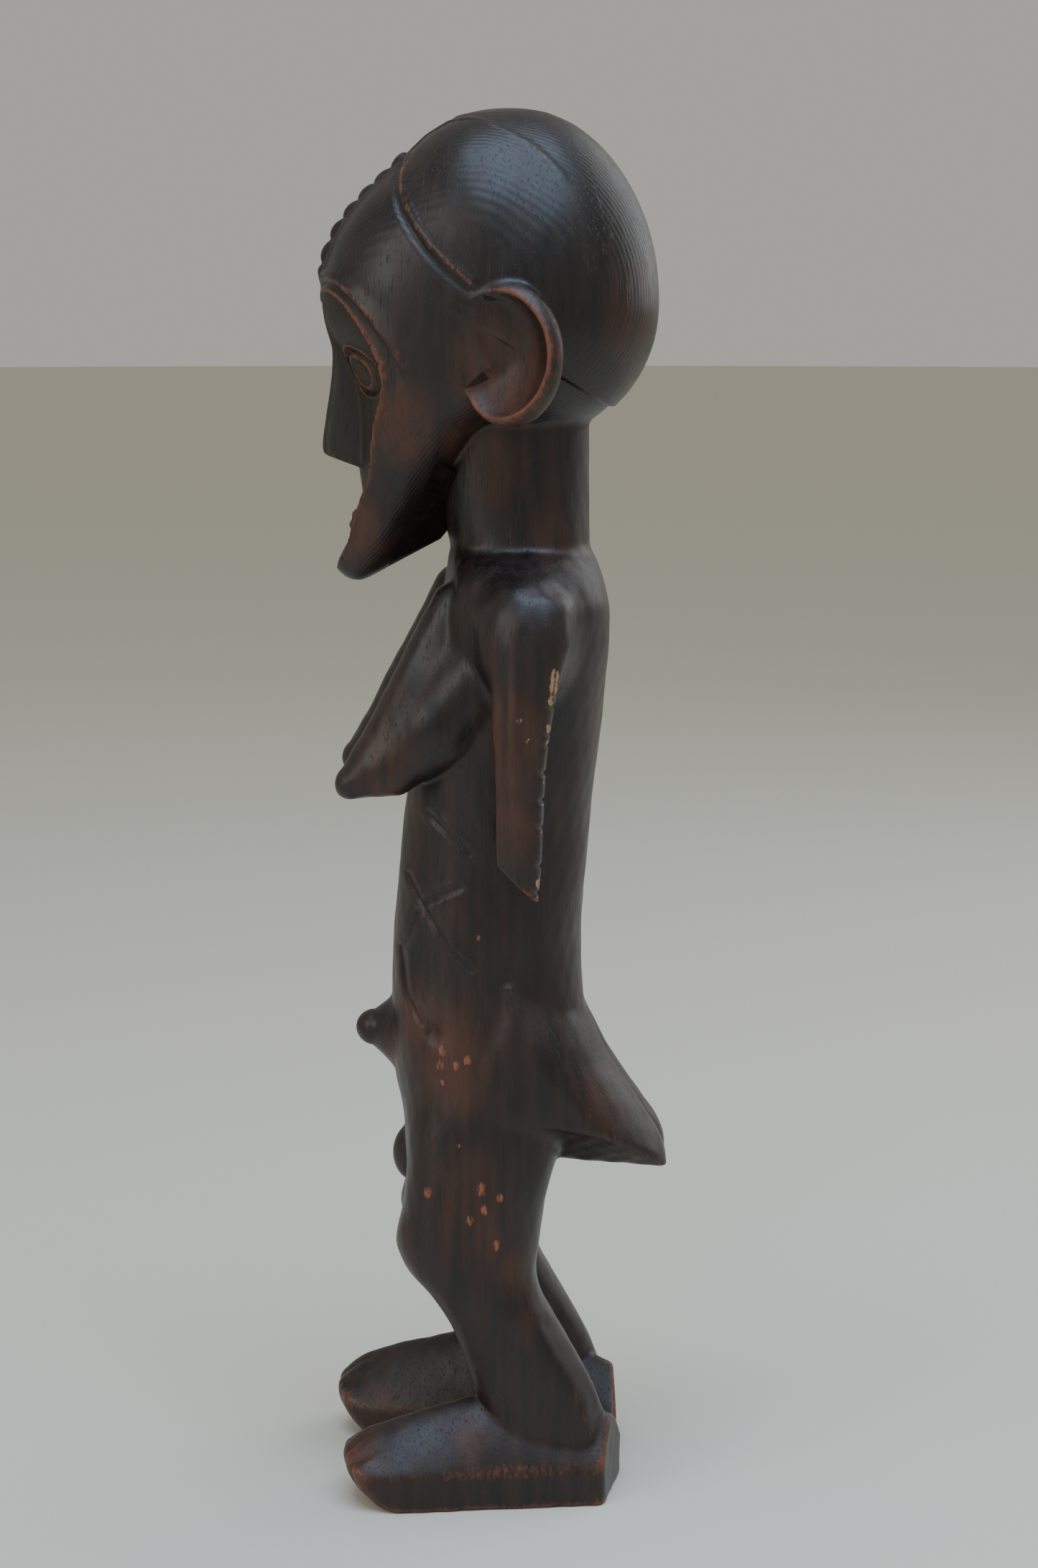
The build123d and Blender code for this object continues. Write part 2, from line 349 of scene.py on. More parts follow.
def foot(p, side):
    """A thick block of a foot: flat sole, upright sides, sloping top, five worn toes."""
    middle_x, turn, length, height = FOOT_PLACE[side]
    c, s = math.cos(math.radians(turn)), math.sin(math.radians(turn))
    ox, oy = side * p[0] - middle_x, (p[1] - TURNING_Y) / length
    x, y, z = c * ox + s * oy, TURNING_Y - s * ox + c * oy, p[2]
    ridge, half_width = curve(y, FOOT)
    plan = common(np.abs(x) - half_width, y - 30.2 + 0.3 * x, 2.4)
    toe_line = -39.2 + 0.012 * (x - 1.0) ** 2 + 0.0011 * np.abs(x - 1.0) ** 3
    undercut = 0.055 * np.maximum(0.0, 12.0 - z) ** 2
    plan = common(plan, toe_line + undercut - y, 3.0)
    slope = 1 - np.clip(np.abs(x) / half_width, 0.0, 1.2) ** 1.6
    top = FOOT_WALL + (ridge - FOOT_WALL) * height * slope
    block = common(plan, (z - top) * 0.82, 1.1)
    block = common(block, -z, 1.3)
    clefts = (1 - np.abs(np.cos(math.pi * x / TOE_WIDTH)) ** 0.55) * (1 - fade(y, -37, -26)) * fade(z, 0, 5)
    return block + 1.0 * clefts


def legs(p):
    return join(leg(p, 1), leg(p, -1), 0.6)


def feet(p):
    return np.minimum(foot(p, 1), foot(p, -1))


# ---- head ----
# Stations up the neck: height, front, back, half width.
NECK = [
    (232, -11.6, 24.3, 18.4),
    (239, -11.0, 24.1, 17.8),
    (246, -12.2, 23.8, 16.8),
    (256, -14.2, 23.5, 16.3),
    (270, -14.6, 23.6, 16.3),
    (286, -12.0, 24.0, 16.0),
]
# Stations up the face, cheeks and forehead: height, front, back, half width.
SKULL = [
    (233.2, -36.8, -33.0, 3.0),
    (235.5, -39.2, -28.6, 5.6),
    (239, -40.1, -24.6, 8.0),
    (244, -38.9, -21.4, 11.0),
    (250, -37.4, -18.0, 13.8),
    (257, -37.4, -12.4, 16.8),
    (265, -37.8, -6.4, 20.2),
    (273, -38.4, 2.0, 23.4),
    (281, -39.4, 17.0, 26.2),
    (290, -41.0, 27.0, 28.0),
    (300, -42.9, 30.0, 28.8),
    (307, -43.4, 31.0, 28.8),
    (314, -41.6, 31.0, 28.2),
    (322, -37.8, 30.0, 26.6),
    (330, -31.2, 28.0, 23.4),
    (337, -23.2, 24.0, 18.6),
    (343, -15.6, 18.0, 12.0),
    (347, -9.0, 12.0, 6.0),
]
# Stations up the face plane: height, place of its middle, then how it falls back to the sides.
FACE = [
    (232, -40.0, 0.00, 0.050),
    (238, -39.6, 0.00, 0.045),
    (242, -37.6, 0.00, 0.035),
    (247, -34.8, 0.00, 0.022),
    (253, -33.4, 0.04, 0.010),
    (262, -34.2, 0.12, 0.014),
    (270, -34.3, 0.15, 0.014),
    (281, -34.7, 0.15, 0.0135),
    (288, -37.2, 0.17, 0.0145),
    (293, -40.2, 0.14, 0.0185),
    (298, -42.6, 0.06, 0.0240),
    (303, -43.3, 0.02, 0.0260),
    (310, -43.6, 0.00, 0.0260),
]
# Right half of the heart-shaped edge of the face, from the middle of the brow to the chin: across, up.
HEART = [
    (0, 301.5), (5, 304.8), (11, 305.4), (16.5, 303.0), (19.6, 298.6), (21.4, 292.6),
    (22.2, 286.0), (21.6, 279.5), (20.0, 273.0), (17.2, 265.0), (14.2, 257.8), (10.8, 251.5),
    (8.2, 246.0), (6.0, 240.5), (3.0, 237.2), (0, 236.6),
]
HEART_EDGE = rounded(HEART + [(-x, z) for x, z in reversed(HEART[1:-1])], passes=1)
# Path of the raised rim round the left lobe of the hair, from the top of the ear: back, up.
RIM = [
    (-5.7, 307.6), (-10.4, 311.3), (-15.1, 316.0), (-18.3, 320.6), (-20.9, 325.4), (-22.3, 330.0),
    (-22.2, 334.7), (-20.6, 339.2), (-16.6, 343.0), (-10.9, 346.2), (-5.6, 346.9), (-0.6, 345.3),
    (4.2, 342.9), (8.9, 340.2), (13.4, 336.3), (17.0, 332.3), (19.8, 328.2),
]
# Front and lower edge of the hair, seen from the side: back, up.
HAIRLINE = [
    (-16.0, 362.0), (-19.6, 345.0), (-22.6, 337.0), (-23.6, 330.0), (-22.2, 325.0), (-19.6, 320.0),
    (-16.2, 315.0), (-11.4, 310.2), (-6.0, 306.0), (2.0, 301.0), (9.0, 294.5), (16.1, 287.0),
    (21.3, 281.9), (29.1, 277.0), (52.0, 262.5),
]
CREST_CENTRE = (-2.0, 308.0)  # the crest runs round this point: back, up
CREST_TURN = (122.5, 183.0)  # where it begins and ends, degrees
CREST_BEADS = 7
EAR_CENTRE = (31.8, 3.6, 290.2)
EAR_TURN = math.radians(25.0)
EYE_CENTRE = (12.0, 285.6)
EYE_RADII = (6.7, 5.0)
EYE_TILT = math.radians(-22.0)
MOUTH_Z = 248.6
TOOTH_WIDTH = 1.9
EYE_SAW = 1.16  # where the eye is parted from the face, as a multiple of its outline
MOUTH_SAW = 1.18  # the same for the mouth


def neck(p):
    x, y, z = p
    front, back, half_width = curve(z, NECK)
    column = section(x, y, front, back, half_width, 2.2)
    return common(column, z - 288.0, 4.0)


def dome(p):
    """The back of the head: a tall egg, drawn in quickly below, with a full front."""
    x, y, z = p
    egg_z = np.where(z < 302.5, 302.5 + (z - 302.5) * 47.4 / 36.0, z)
    cap = egg((x, y, egg_z), (0, 5.0, 302.5), (31.5, 36.0, 47.4))
    return join(cap, egg(p, (0, -2.0, 318.0), (28.5, 25.5, 30.6)), 3.0)


def bare_head(p):
    """Head without ears, nose or any fine carving. At the nape the hair ends in a lip over the wood."""
    x, y, z = p
    front, back, half_width = curve(z, SKULL)
    skull = section(x, y, front, back, half_width, 2.15)
    skull = common(skull, common(z - 347.0, 233.3 - z, 1.0), 1.5)
    cap = dome(p)
    nape = 0.53 * (29.8 - y) - 0.85 * (z - 276.2)
    hair = common(cap, nape, 1.0)
    below_hair = common(cap + 1.3, 271.6 - z, 2.6)
    return join(skull, join(hair, below_hair, 0.6), 2.6)


def rim_path():
    """The rim's path in space: each of its points is set on the side of the bare head."""
    across = np.linspace(0.0, 40.0, 401)
    points = []
    for y, z in RIM:
        values = bare_head((across, np.full(401, y), np.full(401, z)))
        wood = np.nonzero(values < 0)[0]
        points.append((across[wood[-1]] if len(wood) else 0.0, y, z))
    return np.array(points)


def along_rim(p, path):
    """Distance to the rim's path, and how far along the path the nearest place is, from 0 to 1."""
    left = (np.abs(p[0]), p[1], p[2])
    best = np.full(p[0].shape, 1e9)
    place = np.zeros(p[0].shape)
    count = len(path) - 1
    for i, (start, end) in enumerate(zip(path, path[1:])):
        t, gap = nearest(left, start, end)
        place = np.where(gap < best, (i + t) / count, place)
        best = np.minimum(best, gap)
    return best, place


RIM_PATH = rim_path()
LOBE = RIM + [(24.0, 318.0), (26.0, 300.0), (20.0, 284.0), (5.0, 282.0)]


def rim_relief(p):
    """Height of the raised rim round each lobe, and in front of a groove and a lower line outside it."""
    gap, place = along_rim(p, RIM_PATH)
    outside = outline_distance(p[1], p[2], LOBE)
    signed = np.where(outside > 0, gap, -gap)
    strength = 1 - fade(place, 0.80, 1.0)
    front = (1 - fade(place, 0.42, 0.60)) * strength
    lobe = 0.5 * (1 - fade(signed, -1.2, 1.2)) * (1 - fade(p[1], -2, 16)) * fade(p[2], 303, 310)
    bead = 0.90 * bump(signed, 0.9) * strength
    groove = -0.45 * bump(signed - 1.9, 0.9) * front
    second = 0.18 * bump(signed - 3.6, 0.8) * front
    return lobe + bead + groove + second


def along_crest(p):
    """How far up the crest each place is: 0 at the crown, 1 at the brow."""
    turn = np.degrees(np.arctan2(p[2] - CREST_CENTRE[1], p[1] - CREST_CENTRE[0])) % 360
    return (turn - CREST_TURN[0]) / (CREST_TURN[1] - CREST_TURN[0])


def crest_relief(p):
    """A row of notched beads up the middle of the forehead, between two thin ridges."""
    x = p[0]
    along = along_crest(p)
    on = fade(along, -0.03, 0.02) * (1 - fade(along, 0.86, 0.99))
    beads = np.abs(np.sin(math.pi * CREST_BEADS * np.clip(along, 0.0, 1.0))) ** 0.6
    ridges = 0.55 * bump(np.abs(x) - 6.4, 0.8)
    return on * ((0.35 + 1.45 * beads) * (1 - fade(np.abs(x), 2.6, 4.8)) + ridges)


def eye_ring(p):
    """1 on the outline of each eye, 0 at its middle."""
    x, z = np.abs(p[0]) - EYE_CENTRE[0], p[2] - EYE_CENTRE[1]
    c, s = math.cos(EYE_TILT), math.sin(EYE_TILT)
    return np.hypot((c * x + s * z) / EYE_RADII[0], (c * z - s * x) / EYE_RADII[1])


def eye_relief(p):
    ring = eye_ring(p)
    lens = 1.15 * np.clip(1 - ring**2, 0.0, 1.0)
    outline = -0.75 * bump(ring - 1.0, 0.10)
    lid = 0.50 * bump(ring - 1.20, 0.10)
    iris = 0.35 * bump(ring - 0.72, 0.09) - 0.60 * bump(ring - 0.52, 0.10)
    return (lens + outline + lid + iris) * (p[1] < -18)


def mouth_ring(p):
    return np.hypot(p[0] / 6.4, (p[2] - MOUTH_Z) / 3.6)


def mouth_relief(p):
    """Two short lips with small teeth between them."""
    ring = mouth_ring(p)
    lips = 2.6 * np.clip(1 - ring**2, 0.0, 1.0)
    across, up = np.abs(p[0]), p[2] - MOUTH_Z
    gap = -1.5 * bump(up, 0.8) * (1 - fade(across, 4.2, 5.6))
    teeth = 0.9 * np.abs(np.sin(math.pi * p[0] / TOOTH_WIDTH)) * bump(up, 0.7)
    teeth = teeth * (1 - fade(across, 3.2, 4.4))
    outline = -0.35 * bump(ring - 1.05, 0.12)
    return (lips + gap + teeth + outline) * (p[1] < -25)


def face_edge_relief(edge, p):
    """The worn edge of the face, and outside it above the eyes a groove and the raised arch of the brow."""
    in_front = fade(-p[1], 8.0, 16.0)
    above = fade(p[2], 279.0, 290.0)
    above = above * fade(np.abs(p[0]), 1.0, 8.0)
    arch = 0.95 * bump(edge - 4.1, 1.05) * above
    groove = -0.75 * bump(edge - 2.0, 1.0) * above
    lip = 0.30 * bump(edge - 0.5, 0.9)
    return (arch + groove + lip) * in_front


def carved_face(p):
    """The bare head with its face plane sunk and its brow, crest, hair rim, eyes and mouth worked."""
    x, y, z = p
    head = bare_head(p)
    edge = outline_distance(x, z, HEART_EDGE)
    middle_y, fall, bow = curve(z, FACE)
    plane = middle_y + fall * np.abs(x) + bow * x**2
    lean = 1 / np.sqrt(1 + (fall + 2 * bow * np.abs(x)) ** 2)
    hollow = np.maximum((y - plane) * lean, edge * 0.8)
    on_plane = fade(-edge, 0.4, 1.6)
    head = head - face_edge_relief(edge, p)
    head = cut_away(head, hollow, 0.7)
    head = head - (eye_relief(p) + mouth_relief(p)) * on_plane
    return head - rim_relief(p) - crest_relief(p) * fade(z, 303.5, 308.0)


NOSE = [
    (257, -40.6, 6.0),
    (263, -42.7, 5.7),
    (267, -43.1, 5.4),
    (274, -42.4, 4.7),
    (280, -41.4, 4.0),
    (286, -40.7, 3.3),
    (291, -40.7, 3.1),
    (296, -42.0, 3.6),
    (304, -43.0, 6.0),
]


def nose(p):
    """A long straight nose, square in section, cut off on a slant below."""
    x, y, z = p
    front, half_width = curve(z, NOSE)
    wedge = common(np.abs(x) - half_width - 0.10 * (y + 40.0), front - y, 2.2)
    under = 262.0 + 0.36 * (-34.8 - y) - z
    wedge = common(wedge, 0.93 * under, 1.3)
    return common(common(wedge, z - 303.0, 2.0), y + 27.0, 1.0)


def ear(p):
    """A big cupped ear, straight in front and round behind, turned a little forward."""
    x, y, z = np.abs(p[0]) - EAR_CENTRE[0], p[1] - EAR_CENTRE[1], p[2] - EAR_CENTRE[2]
    c, s = math.cos(EAR_TURN), math.sin(EAR_TURN)
    u, w = s * x + c * y, c * x - s * y
    shell = egg((u, z, w), (0, 0, -0.4), (13.8, 17.4, 7.6))
    cup = egg((u, z, w), (-3.4, 0.3, 5.8), (15.6, 16.0, 9.4))
    shell = cut_away(shell, cup, 0.9)
    shell = common(shell, -7.4 - p[1], 0.9)
    tragus = taper((np.abs(p[0]), p[1], p[2]), (28.0, -6.0, 297.5), (27.0, -1.5, 288.0), 0.9, 1.3)
    return join(shell, tragus, 2.2)


def head(p):
    return join(join(carved_face(p), nose(p), 0.8), ear(p), 1.8)


# ---- marks of use and of the knife ----
SCARS = [
    [(-16.7, 176.2), (-6.1, 166.9)],
    [(-17.7, 154.0), (-8.5, 158.2)],
    [(-21.8, 159.8), (-18.1, 153.2), (-11.2, 142.0), (-5.7, 137.4)],
    [(-19.5, 151.2), (-23.7, 140.9), (-22.3, 130.5), (-18.8, 123.5)],
]


def scar_relief(p):
    """The pattern cut into each flank, and the hole of a small knot beside the navel."""
    x, y, z = p
    on_side = fade(np.abs(x), 5.0, 9.0)
    depth = np.zeros(x.shape)
    for scar in SCARS:
        gap = line_distance(y, z, scar)
        depth = np.maximum(depth, 0.55 * bump(gap, 0.65))
    shoulders = 0.0
    for scar in SCARS:
        shoulders = shoulders + 0.18 * bump(line_distance(y, z, scar) - 1.5, 0.7)
    knot = 1.5 * bump(np.hypot(y + 15.2, 0.75 * (z - 121.4)), 1.7) * (x > 0)
    return (shoulders - knot - depth) * on_side * (y < 0)


def hand_work(p):
    """The slight unevenness that a knife leaves."""
    x, y, z = p
    broad = np.sin(x * 0.31 + 1.3) * np.sin(y * 0.27 + z * 0.09) + np.sin(z * 0.21 + x * 0.17 + 0.6)
    close = np.sin(x * 0.83 + z * 0.11) * np.sin(y * 0.91 - 0.4) * np.sin(z * 0.47 + 2.0)
    return (0.11 * broad + 0.09 * close) * (1 - 0.65 * fade(z, 240, 290))


def body(p):
    """Everything below the neck. The two levels given with each region are those it can lie between."""
    solid = join(between(p, 68, 250, trunk), between(p, *ARM_LEVELS, arm), 1.6)
    solid = join(solid, between(p, BREAST_LEVEL, 244, breast), 1.3)
    lower = join(between(p, -3, 112, legs), between(p, -3, FOOT_LEVEL, feet), 0.9)
    solid = join(solid, lower, 2.6)
    fillet = 1.2 + 5.5 * fade(p[2], 88, 104) * (1 - fade(p[2], 116, 130))
    solid = join(solid, between(p, BUTTOCK_LEVEL, 134, buttock), fillet)
    solid = join(solid, between(p, 98, 136, navel), 1.6)
    solid = join(solid, between(p, 70, 100, pubic_boss), 1.2)
    return solid - between(p, 114, 182, scar_relief) * (np.abs(p[2] - 148) < 34)


def carving(p):
    """The whole figure."""
    solid = join(body(p), between(p, 226, 292, neck), 2.6)
    return join(solid, between(p, 227, 358, head), 1.6) + hand_work(p)


# ---- the block, and the saw that parts it ----
BRICK = 6  # grid points along one side of a brick, the unit in which the field is sampled
BATCH = 1500  # bricks sampled at once
CRUMB = 0.08  # an island smaller than this share of a piece stays with the wood round it
RING_SHARE = 0.55  # size of the inner ring of a sawn face, against its outline
RING_DEPTH = 0.8  # how deep that ring lies, against the middle of the sawn face
MARGIN = 2.5  # room left round the block, mm
CLOSE = 2.2  # how far from a brick's corners the surface may still run into it, mm
EDGE_REACH = 0.9  # distance over which an edge is felt for, mm
BROAD_REACH = 2.4  # distance over which a broad bend is felt for, mm


def sample_field(step):
    """Field values on a grid of the given step, worked out only in bricks near the surface."""
    brick = step * BRICK
    corner = BLOCK_LOW - MARGIN
    counts = np.ceil((BLOCK_HIGH + MARGIN - corner) / brick).astype(int)
    axes = [corner[i] + (np.arange(counts[i]) + 0.5) * brick for i in range(3)]
    centres = [axis.ravel() for axis in np.meshgrid(*axes, indexing="ij")]
    coarse = carving(centres)
    signs = np.where(coarse > 0, FAR, -FAR).astype(np.float32).reshape(counts)
    grid = signs.repeat(BRICK, 0).repeat(BRICK, 1).repeat(BRICK, 2)
    near = np.argwhere(np.abs(coarse).reshape(counts) < 0.9 * brick + CLOSE)
    inner = np.stack(np.meshgrid(*[np.arange(BRICK)] * 3, indexing="ij"), -1).reshape(-1, 3)
    for bricks in np.array_split(near, max(1, len(near) // BATCH)):
        spots = (bricks[:, None, :] * BRICK + inner[None]).reshape(-1, 3)
        values = carving([corner[i] + (spots[:, i] + 0.5) * step for i in range(3)])
        grid[spots[:, 0], spots[:, 1], spots[:, 2]] = values
    return grid, corner + 0.5 * step


def slopes(points, reach):
    """The field at each point, its slope there, and how much it curves over the given reach."""
    here = carving(points.T)
    slope, around = np.empty_like(points), np.zeros(len(points))
    for i in range(3):
        offset = np.zeros(3)
        offset[i] = reach
        ahead, behind = carving((points + offset).T), carving((points - offset).T)
        slope[:, i] = (ahead - behind) / (2 * reach)
        around += (ahead + behind - 2 * here) / 6
    return here, slope, around / reach


class Wood:
    """A closed mesh of triangles. Each row of rows is a point: place, normal, wear, crease."""

    def __init__(self, rows, faces, sawn):
        self.rows, self.faces, self.sawn = rows, faces, sawn

    @property
    def points(self):
        return self.rows[:, :3].T

    def only(self, chosen):
        """The wood made of the chosen faces alone."""
        faces = self.faces[chosen]
        used, faces = np.unique(faces, return_inverse=True)
        return Wood(self.rows[used], faces.reshape(-1, 3), self.sawn[chosen])


def carve_block(step):
    """The whole figure as one closed mesh whose points lie on the field's surface."""
    values, corner = sample_field(step)
    grid = openvdb.FloatGrid(FAR)
    grid.copyFromArray(values)
    places, _, quads = grid.convertToPolygons(0.0, 0.0)
    points = places.astype(float) * step + corner
    faces = np.concatenate([quads[:, [0, 1, 2]], quads[:, [0, 2, 3]]]).astype(np.int64)
    a, b, c = (points[faces[:, i]] for i in range(3))
    if np.einsum("ij,ij->i", a, np.cross(b, c)).sum() < 0:
        faces = faces[:, ::-1]
    for _ in range(2):
        here, slope, _ = slopes(points, 0.12)
        move = here[:, None] * slope / np.maximum((slope**2).sum(1), 0.2)[:, None]
        points = points - np.clip(move, -0.35 * step, 0.35 * step)
    _, slope, edge = slopes(points, EDGE_REACH)
    _, _, broad = slopes(points, BROAD_REACH)
    normal = slope / np.linalg.norm(slope, axis=1)[:, None]
    bend = 0.75 * edge + 0.35 * broad
    rows = np.column_stack([points, normal, bend, -bend])
    return Wood(rows, faces, np.zeros(len(faces), dtype=bool))


def islands(edges, count):
    """A label for each point, the same for all points that edges join."""
    label = np.arange(count)
    while True:
        lowest = label.copy()
        nearest = np.minimum(label[edges[:, 0]], label[edges[:, 1]])
        np.minimum.at(lowest, label[edges[:, 0]], nearest)
        np.minimum.at(lowest, label[edges[:, 1]], nearest)
        while (lowest != lowest[lowest]).any():
            lowest = lowest[lowest]
        if (lowest == label).all():
            return label
        label = lowest


def mesh_edges(faces):
    return np.concatenate([faces[:, [0, 1]], faces[:, [1, 2]], faces[:, [2, 0]]])


def without_crumbs(side, faces):
    """Side values with every small island of either sign turned over."""
    edges = mesh_edges(faces)
    same = (side[edges[:, 0]] > 0) == (side[edges[:, 1]] > 0)
    label = islands(edges[same], len(side))
    _, label, sizes = np.unique(label, return_inverse=True, return_counts=True)
    positive = side > 0
    limit = CRUMB * min(positive.sum(), (~positive).sum())
    small = sizes[label] < limit
    return np.where(small, np.where(positive, -1e-3, 1e-3), side)


def saw(wood, side, sink=(0, 0, 0)):
    """Part the wood where side changes sign: the piece above zero, then the rest.

    Both get the same sawn face, whose middle lies sink mm from the middle of its outline.
    """
    side = np.where(np.abs(side) < 1e-4, 1e-4, side)
    side = without_crumbs(side, wood.faces)
    above = side[wood.faces] > 0
    count = above.sum(1)
    mixed = (count == 1) | (count == 2)
    faces, flags = wood.faces[mixed], above[mixed]
    odd_is_above = count[mixed] == 1
    odd = np.argmax(flags == odd_is_above[:, None], axis=1)
    turned = [faces[np.arange(len(faces)), (odd + i) % 3] for i in range(3)]
    a, b, c = turned
    pairs = np.sort(np.concatenate([np.column_stack([a, b]), np.column_stack([a, c])]), axis=1)
    unique, place = np.unique(pairs, axis=0, return_inverse=True)
    place = place.reshape(-1)
    s0, s1 = side[unique[:, 0]], side[unique[:, 1]]
    t = (s0 / (s0 - s1))[:, None]
    fresh = wood.rows[unique[:, 0]] * (1 - t) + wood.rows[unique[:, 1]] * t
    first = len(wood.rows)
    ab, ac = place[: len(a)] + first, place[len(a):] + first
    tips = np.column_stack([a, ab, ac])
    bases = np.concatenate([np.column_stack([ab, b, c]), np.column_stack([ab, c, ac])])
    tips_above, bases_above = odd_is_above, np.concatenate([~odd_is_above, ~odd_is_above])
    start = np.where(odd_is_above, ab, ac)
    end = np.where(odd_is_above, ac, ab)
    rows, caps = sawn_faces(np.concatenate([wood.rows, fresh]), start, end, np.array(sink, dtype=float))
    flags = wood.sawn[mixed]
    parts = []
    for keep, corners in ((True, 3), (False, 0)):
        whole = count == corners
        tip, base = tips_above == keep, bases_above == keep
        new_faces = [wood.faces[whole], tips[tip], bases[base], caps if keep else caps[:, ::-1]]
        fresh_flags = np.ones(len(caps), dtype=bool)
        sawn = [wood.sawn[whole], flags[tip], np.concatenate([flags, flags])[base], fresh_flags]
        part = Wood(rows, np.concatenate(new_faces), np.concatenate(sawn))
        parts.append(part.only(slice(None)))
    return parts


def sawn_faces(rows, start, end, sink):
    """Rows with the inner points of the sawn faces added, and the faces, seen from the rest's side."""
    follow = dict(zip(start.tolist(), end.tolist()))
    caps = []
    while follow:
        loop = [next(iter(follow))]
        while True:
            following = follow.pop(loop[-1])
            if following == loop[0]:
                break
            loop.append(following)
        loop = np.array(loop)
        outline = rows[loop]
        centre = outline.mean(axis=0)
        depth = np.zeros(rows.shape[1])
        depth[:3] = sink
        ring = centre + RING_SHARE * (outline - centre) + RING_DEPTH * depth
        first = len(rows)
        rows = np.concatenate([rows, ring, (centre + depth)[None]])
        inner, last = np.arange(len(loop)) + first, first + len(loop)
        after, inner_after = np.roll(loop, -1), np.roll(inner, -1)
        caps.append(np.column_stack([after, loop, inner]))
        caps.append(np.column_stack([after, inner, inner_after]))
        caps.append(np.column_stack([inner_after, inner, np.full(len(loop), last)]))
    return rows, np.concatenate(caps)


def two_sides(wood):
    """The separate left and right woods of a pair."""
    label = islands(mesh_edges(wood.faces), len(wood.rows))
    face_label = label[wood.faces[:, 0]]
    sides = {}
    for value in np.unique(face_label):
        part = wood.only(face_label == value)
        sides.setdefault("left" if part.rows[:, 0].mean() > 0 else "right", []).append(part)
    return {side: max(parts, key=lambda part: len(part.faces)) for side, parts in sides.items()}


BENCH = {}  # the wood that is still to be sawn, by block: the head, and the rest


def saw_off(block, side, sink=(0, 0, 0)):
    """Saw the wood where side is above zero off a block, and leave what remains on the bench."""
    wood, BENCH[block] = saw(BENCH[block], side, sink)
    return wood


def mesh_of(name, wood):
    """A Blender mesh of the wood, smooth across its seams with the neighbours."""
    mesh = bpy.data.meshes.new(name)
    count = len(wood.faces)
    mesh.vertices.add(len(wood.rows))
    mesh.vertices.foreach_set("co", (wood.rows[:, :3] * MM).astype(np.float32).ravel())
    mesh.loops.add(3 * count)
    mesh.loops.foreach_set("vertex_index", wood.faces.astype(np.int32).ravel())
    mesh.polygons.add(count)
    mesh.polygons.foreach_set("loop_start", np.arange(0, 3 * count, 3, dtype=np.int32))
    mesh.update(calc_edges=True)
    a, b, c = (wood.rows[wood.faces[:, i], :3] for i in range(3))
    flat = np.cross(b - a, c - a)
    flat /= np.maximum(np.linalg.norm(flat, axis=1), 1e-12)[:, None]
    normals = wood.rows[:, 3:6][wood.faces]
    normals[wood.sawn] = flat[wood.sawn][:, None, :]
    normals /= np.maximum(np.linalg.norm(normals, axis=2), 1e-9)[:, :, None]
    mesh.normals_split_custom_set(normals.reshape(-1, 3).tolist())
    for field, values in marks(wood).items():
        attribute = mesh.attributes.new(field, "FLOAT", "POINT")
        attribute.data.foreach_set("value", values.astype(np.float32))
    return mesh


def place_piece(name, wood, material, nodes=None):
    """Put a piece of the carving in the scene in place of the CAD nodes it stands for."""
    piece = bpy.data.objects.new("carved_" + name, mesh_of(name, wood))
    bpy.context.collection.objects.link(piece)
    piece.data.materials.append(wood_material(material))
    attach(piece, "root")
    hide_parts(*(nodes or [name]))
    return piece


# ---- masks for the finish ----
# Places where the patina is knocked off: across, back, up, radius.
CHIPS = [
    (40, 14.6, 213.5, 1.9), (40, 14.5, 210.5, 2.1), (40, 14.2, 207.5, 1.7), (39, 13.2, 200.6, 1.3),
    (39, 13.0, 197.0, 1.0), (39, 12.5, 187.2, 1.2), (38, 12.2, 182.0, 1.0), (38, 11.9, 175.6, 1.2),
    (38, 11.0, 162.0, 1.6), (28, 11.4, 234.1, 1.5), (8, 1.8, 343.5, 2.2), (10, 0.2, 343.0, 1.6),
    (-40, 13.0, 191.0, 1.9), (40, 6.0, 203.0, 1.2), (41, 8.0, 198.0, 1.0),
]
# Places rubbed through to a warmer brown: across, back, up, radius.
RUBBED = [
    (27, -17.0, 81.4, 1.8), (29, -3.2, 82.4, 2.0), (29, -2.8, 77.3, 1.6), (29, -6.2, 74.7, 1.7),
    (29, 1.1, 80.3, 1.5), (30, 0.1, 68.1, 1.6), (27, -9.1, 93.5, 1.2), (17, -22.1, 275.5, 1.5),
    (12, -27.0, 255.5, 1.5), (18, -24.9, 276.4, 1.3), (-28, -6.0, 80.0, 2.2),
    (25, -17.4, 120.5, 1.7), (26, -13.6, 117.0, 1.8), (26, -14.0, 113.3, 1.7), (27, -7.0, 115.0, 1.5),
    (27, -6.0, 123.0, 1.1), (27, -9.8, 113.4, 1.4), (26, -13.3, 109.0, 1.0), (24, -4.1, 145.6, 1.0),
    (-27, 9.0, 118.0, 1.5), (24, -12.5, 177.0, 1.6),
]

# Broad areas where handling has warmed the patina: across, back, up, radius.
WARM = [
    (27, -11, 113, 9), (24, -20, 124, 6), (29, -6, 78, 10), (18, -24, 64, 6), (29, 6, 60, 5), (27, 8, 47, 4),
    (19, -27, 188, 7), (12, -24, 178, 4), (40, 4, 196, 9), (40, 3, 176, 6), (36, 2, 286, 11),
    (20, -22, 272, 7),
    (9, -34, 246, 6), (16, 0, 262, 7), (15, -8, 268, 5), (18, 36, 300, 9), (25, 26, 103, 6), (8, -25, 112, 5),
    (24, -35, 8, 7), (26, -6, 16, 4), (17, 14, 244, 5), (-27, -8, 110, 9), (-28, 4, 76, 9),
    (-18, -27, 190, 7), (-40, 6, 188, 8), (-36, 2, 288, 10), (-17, 8, 258, 8), (-20, -30, 8, 7),
    (-22, 28, 90, 7), (0, 27, 200, 7),
]


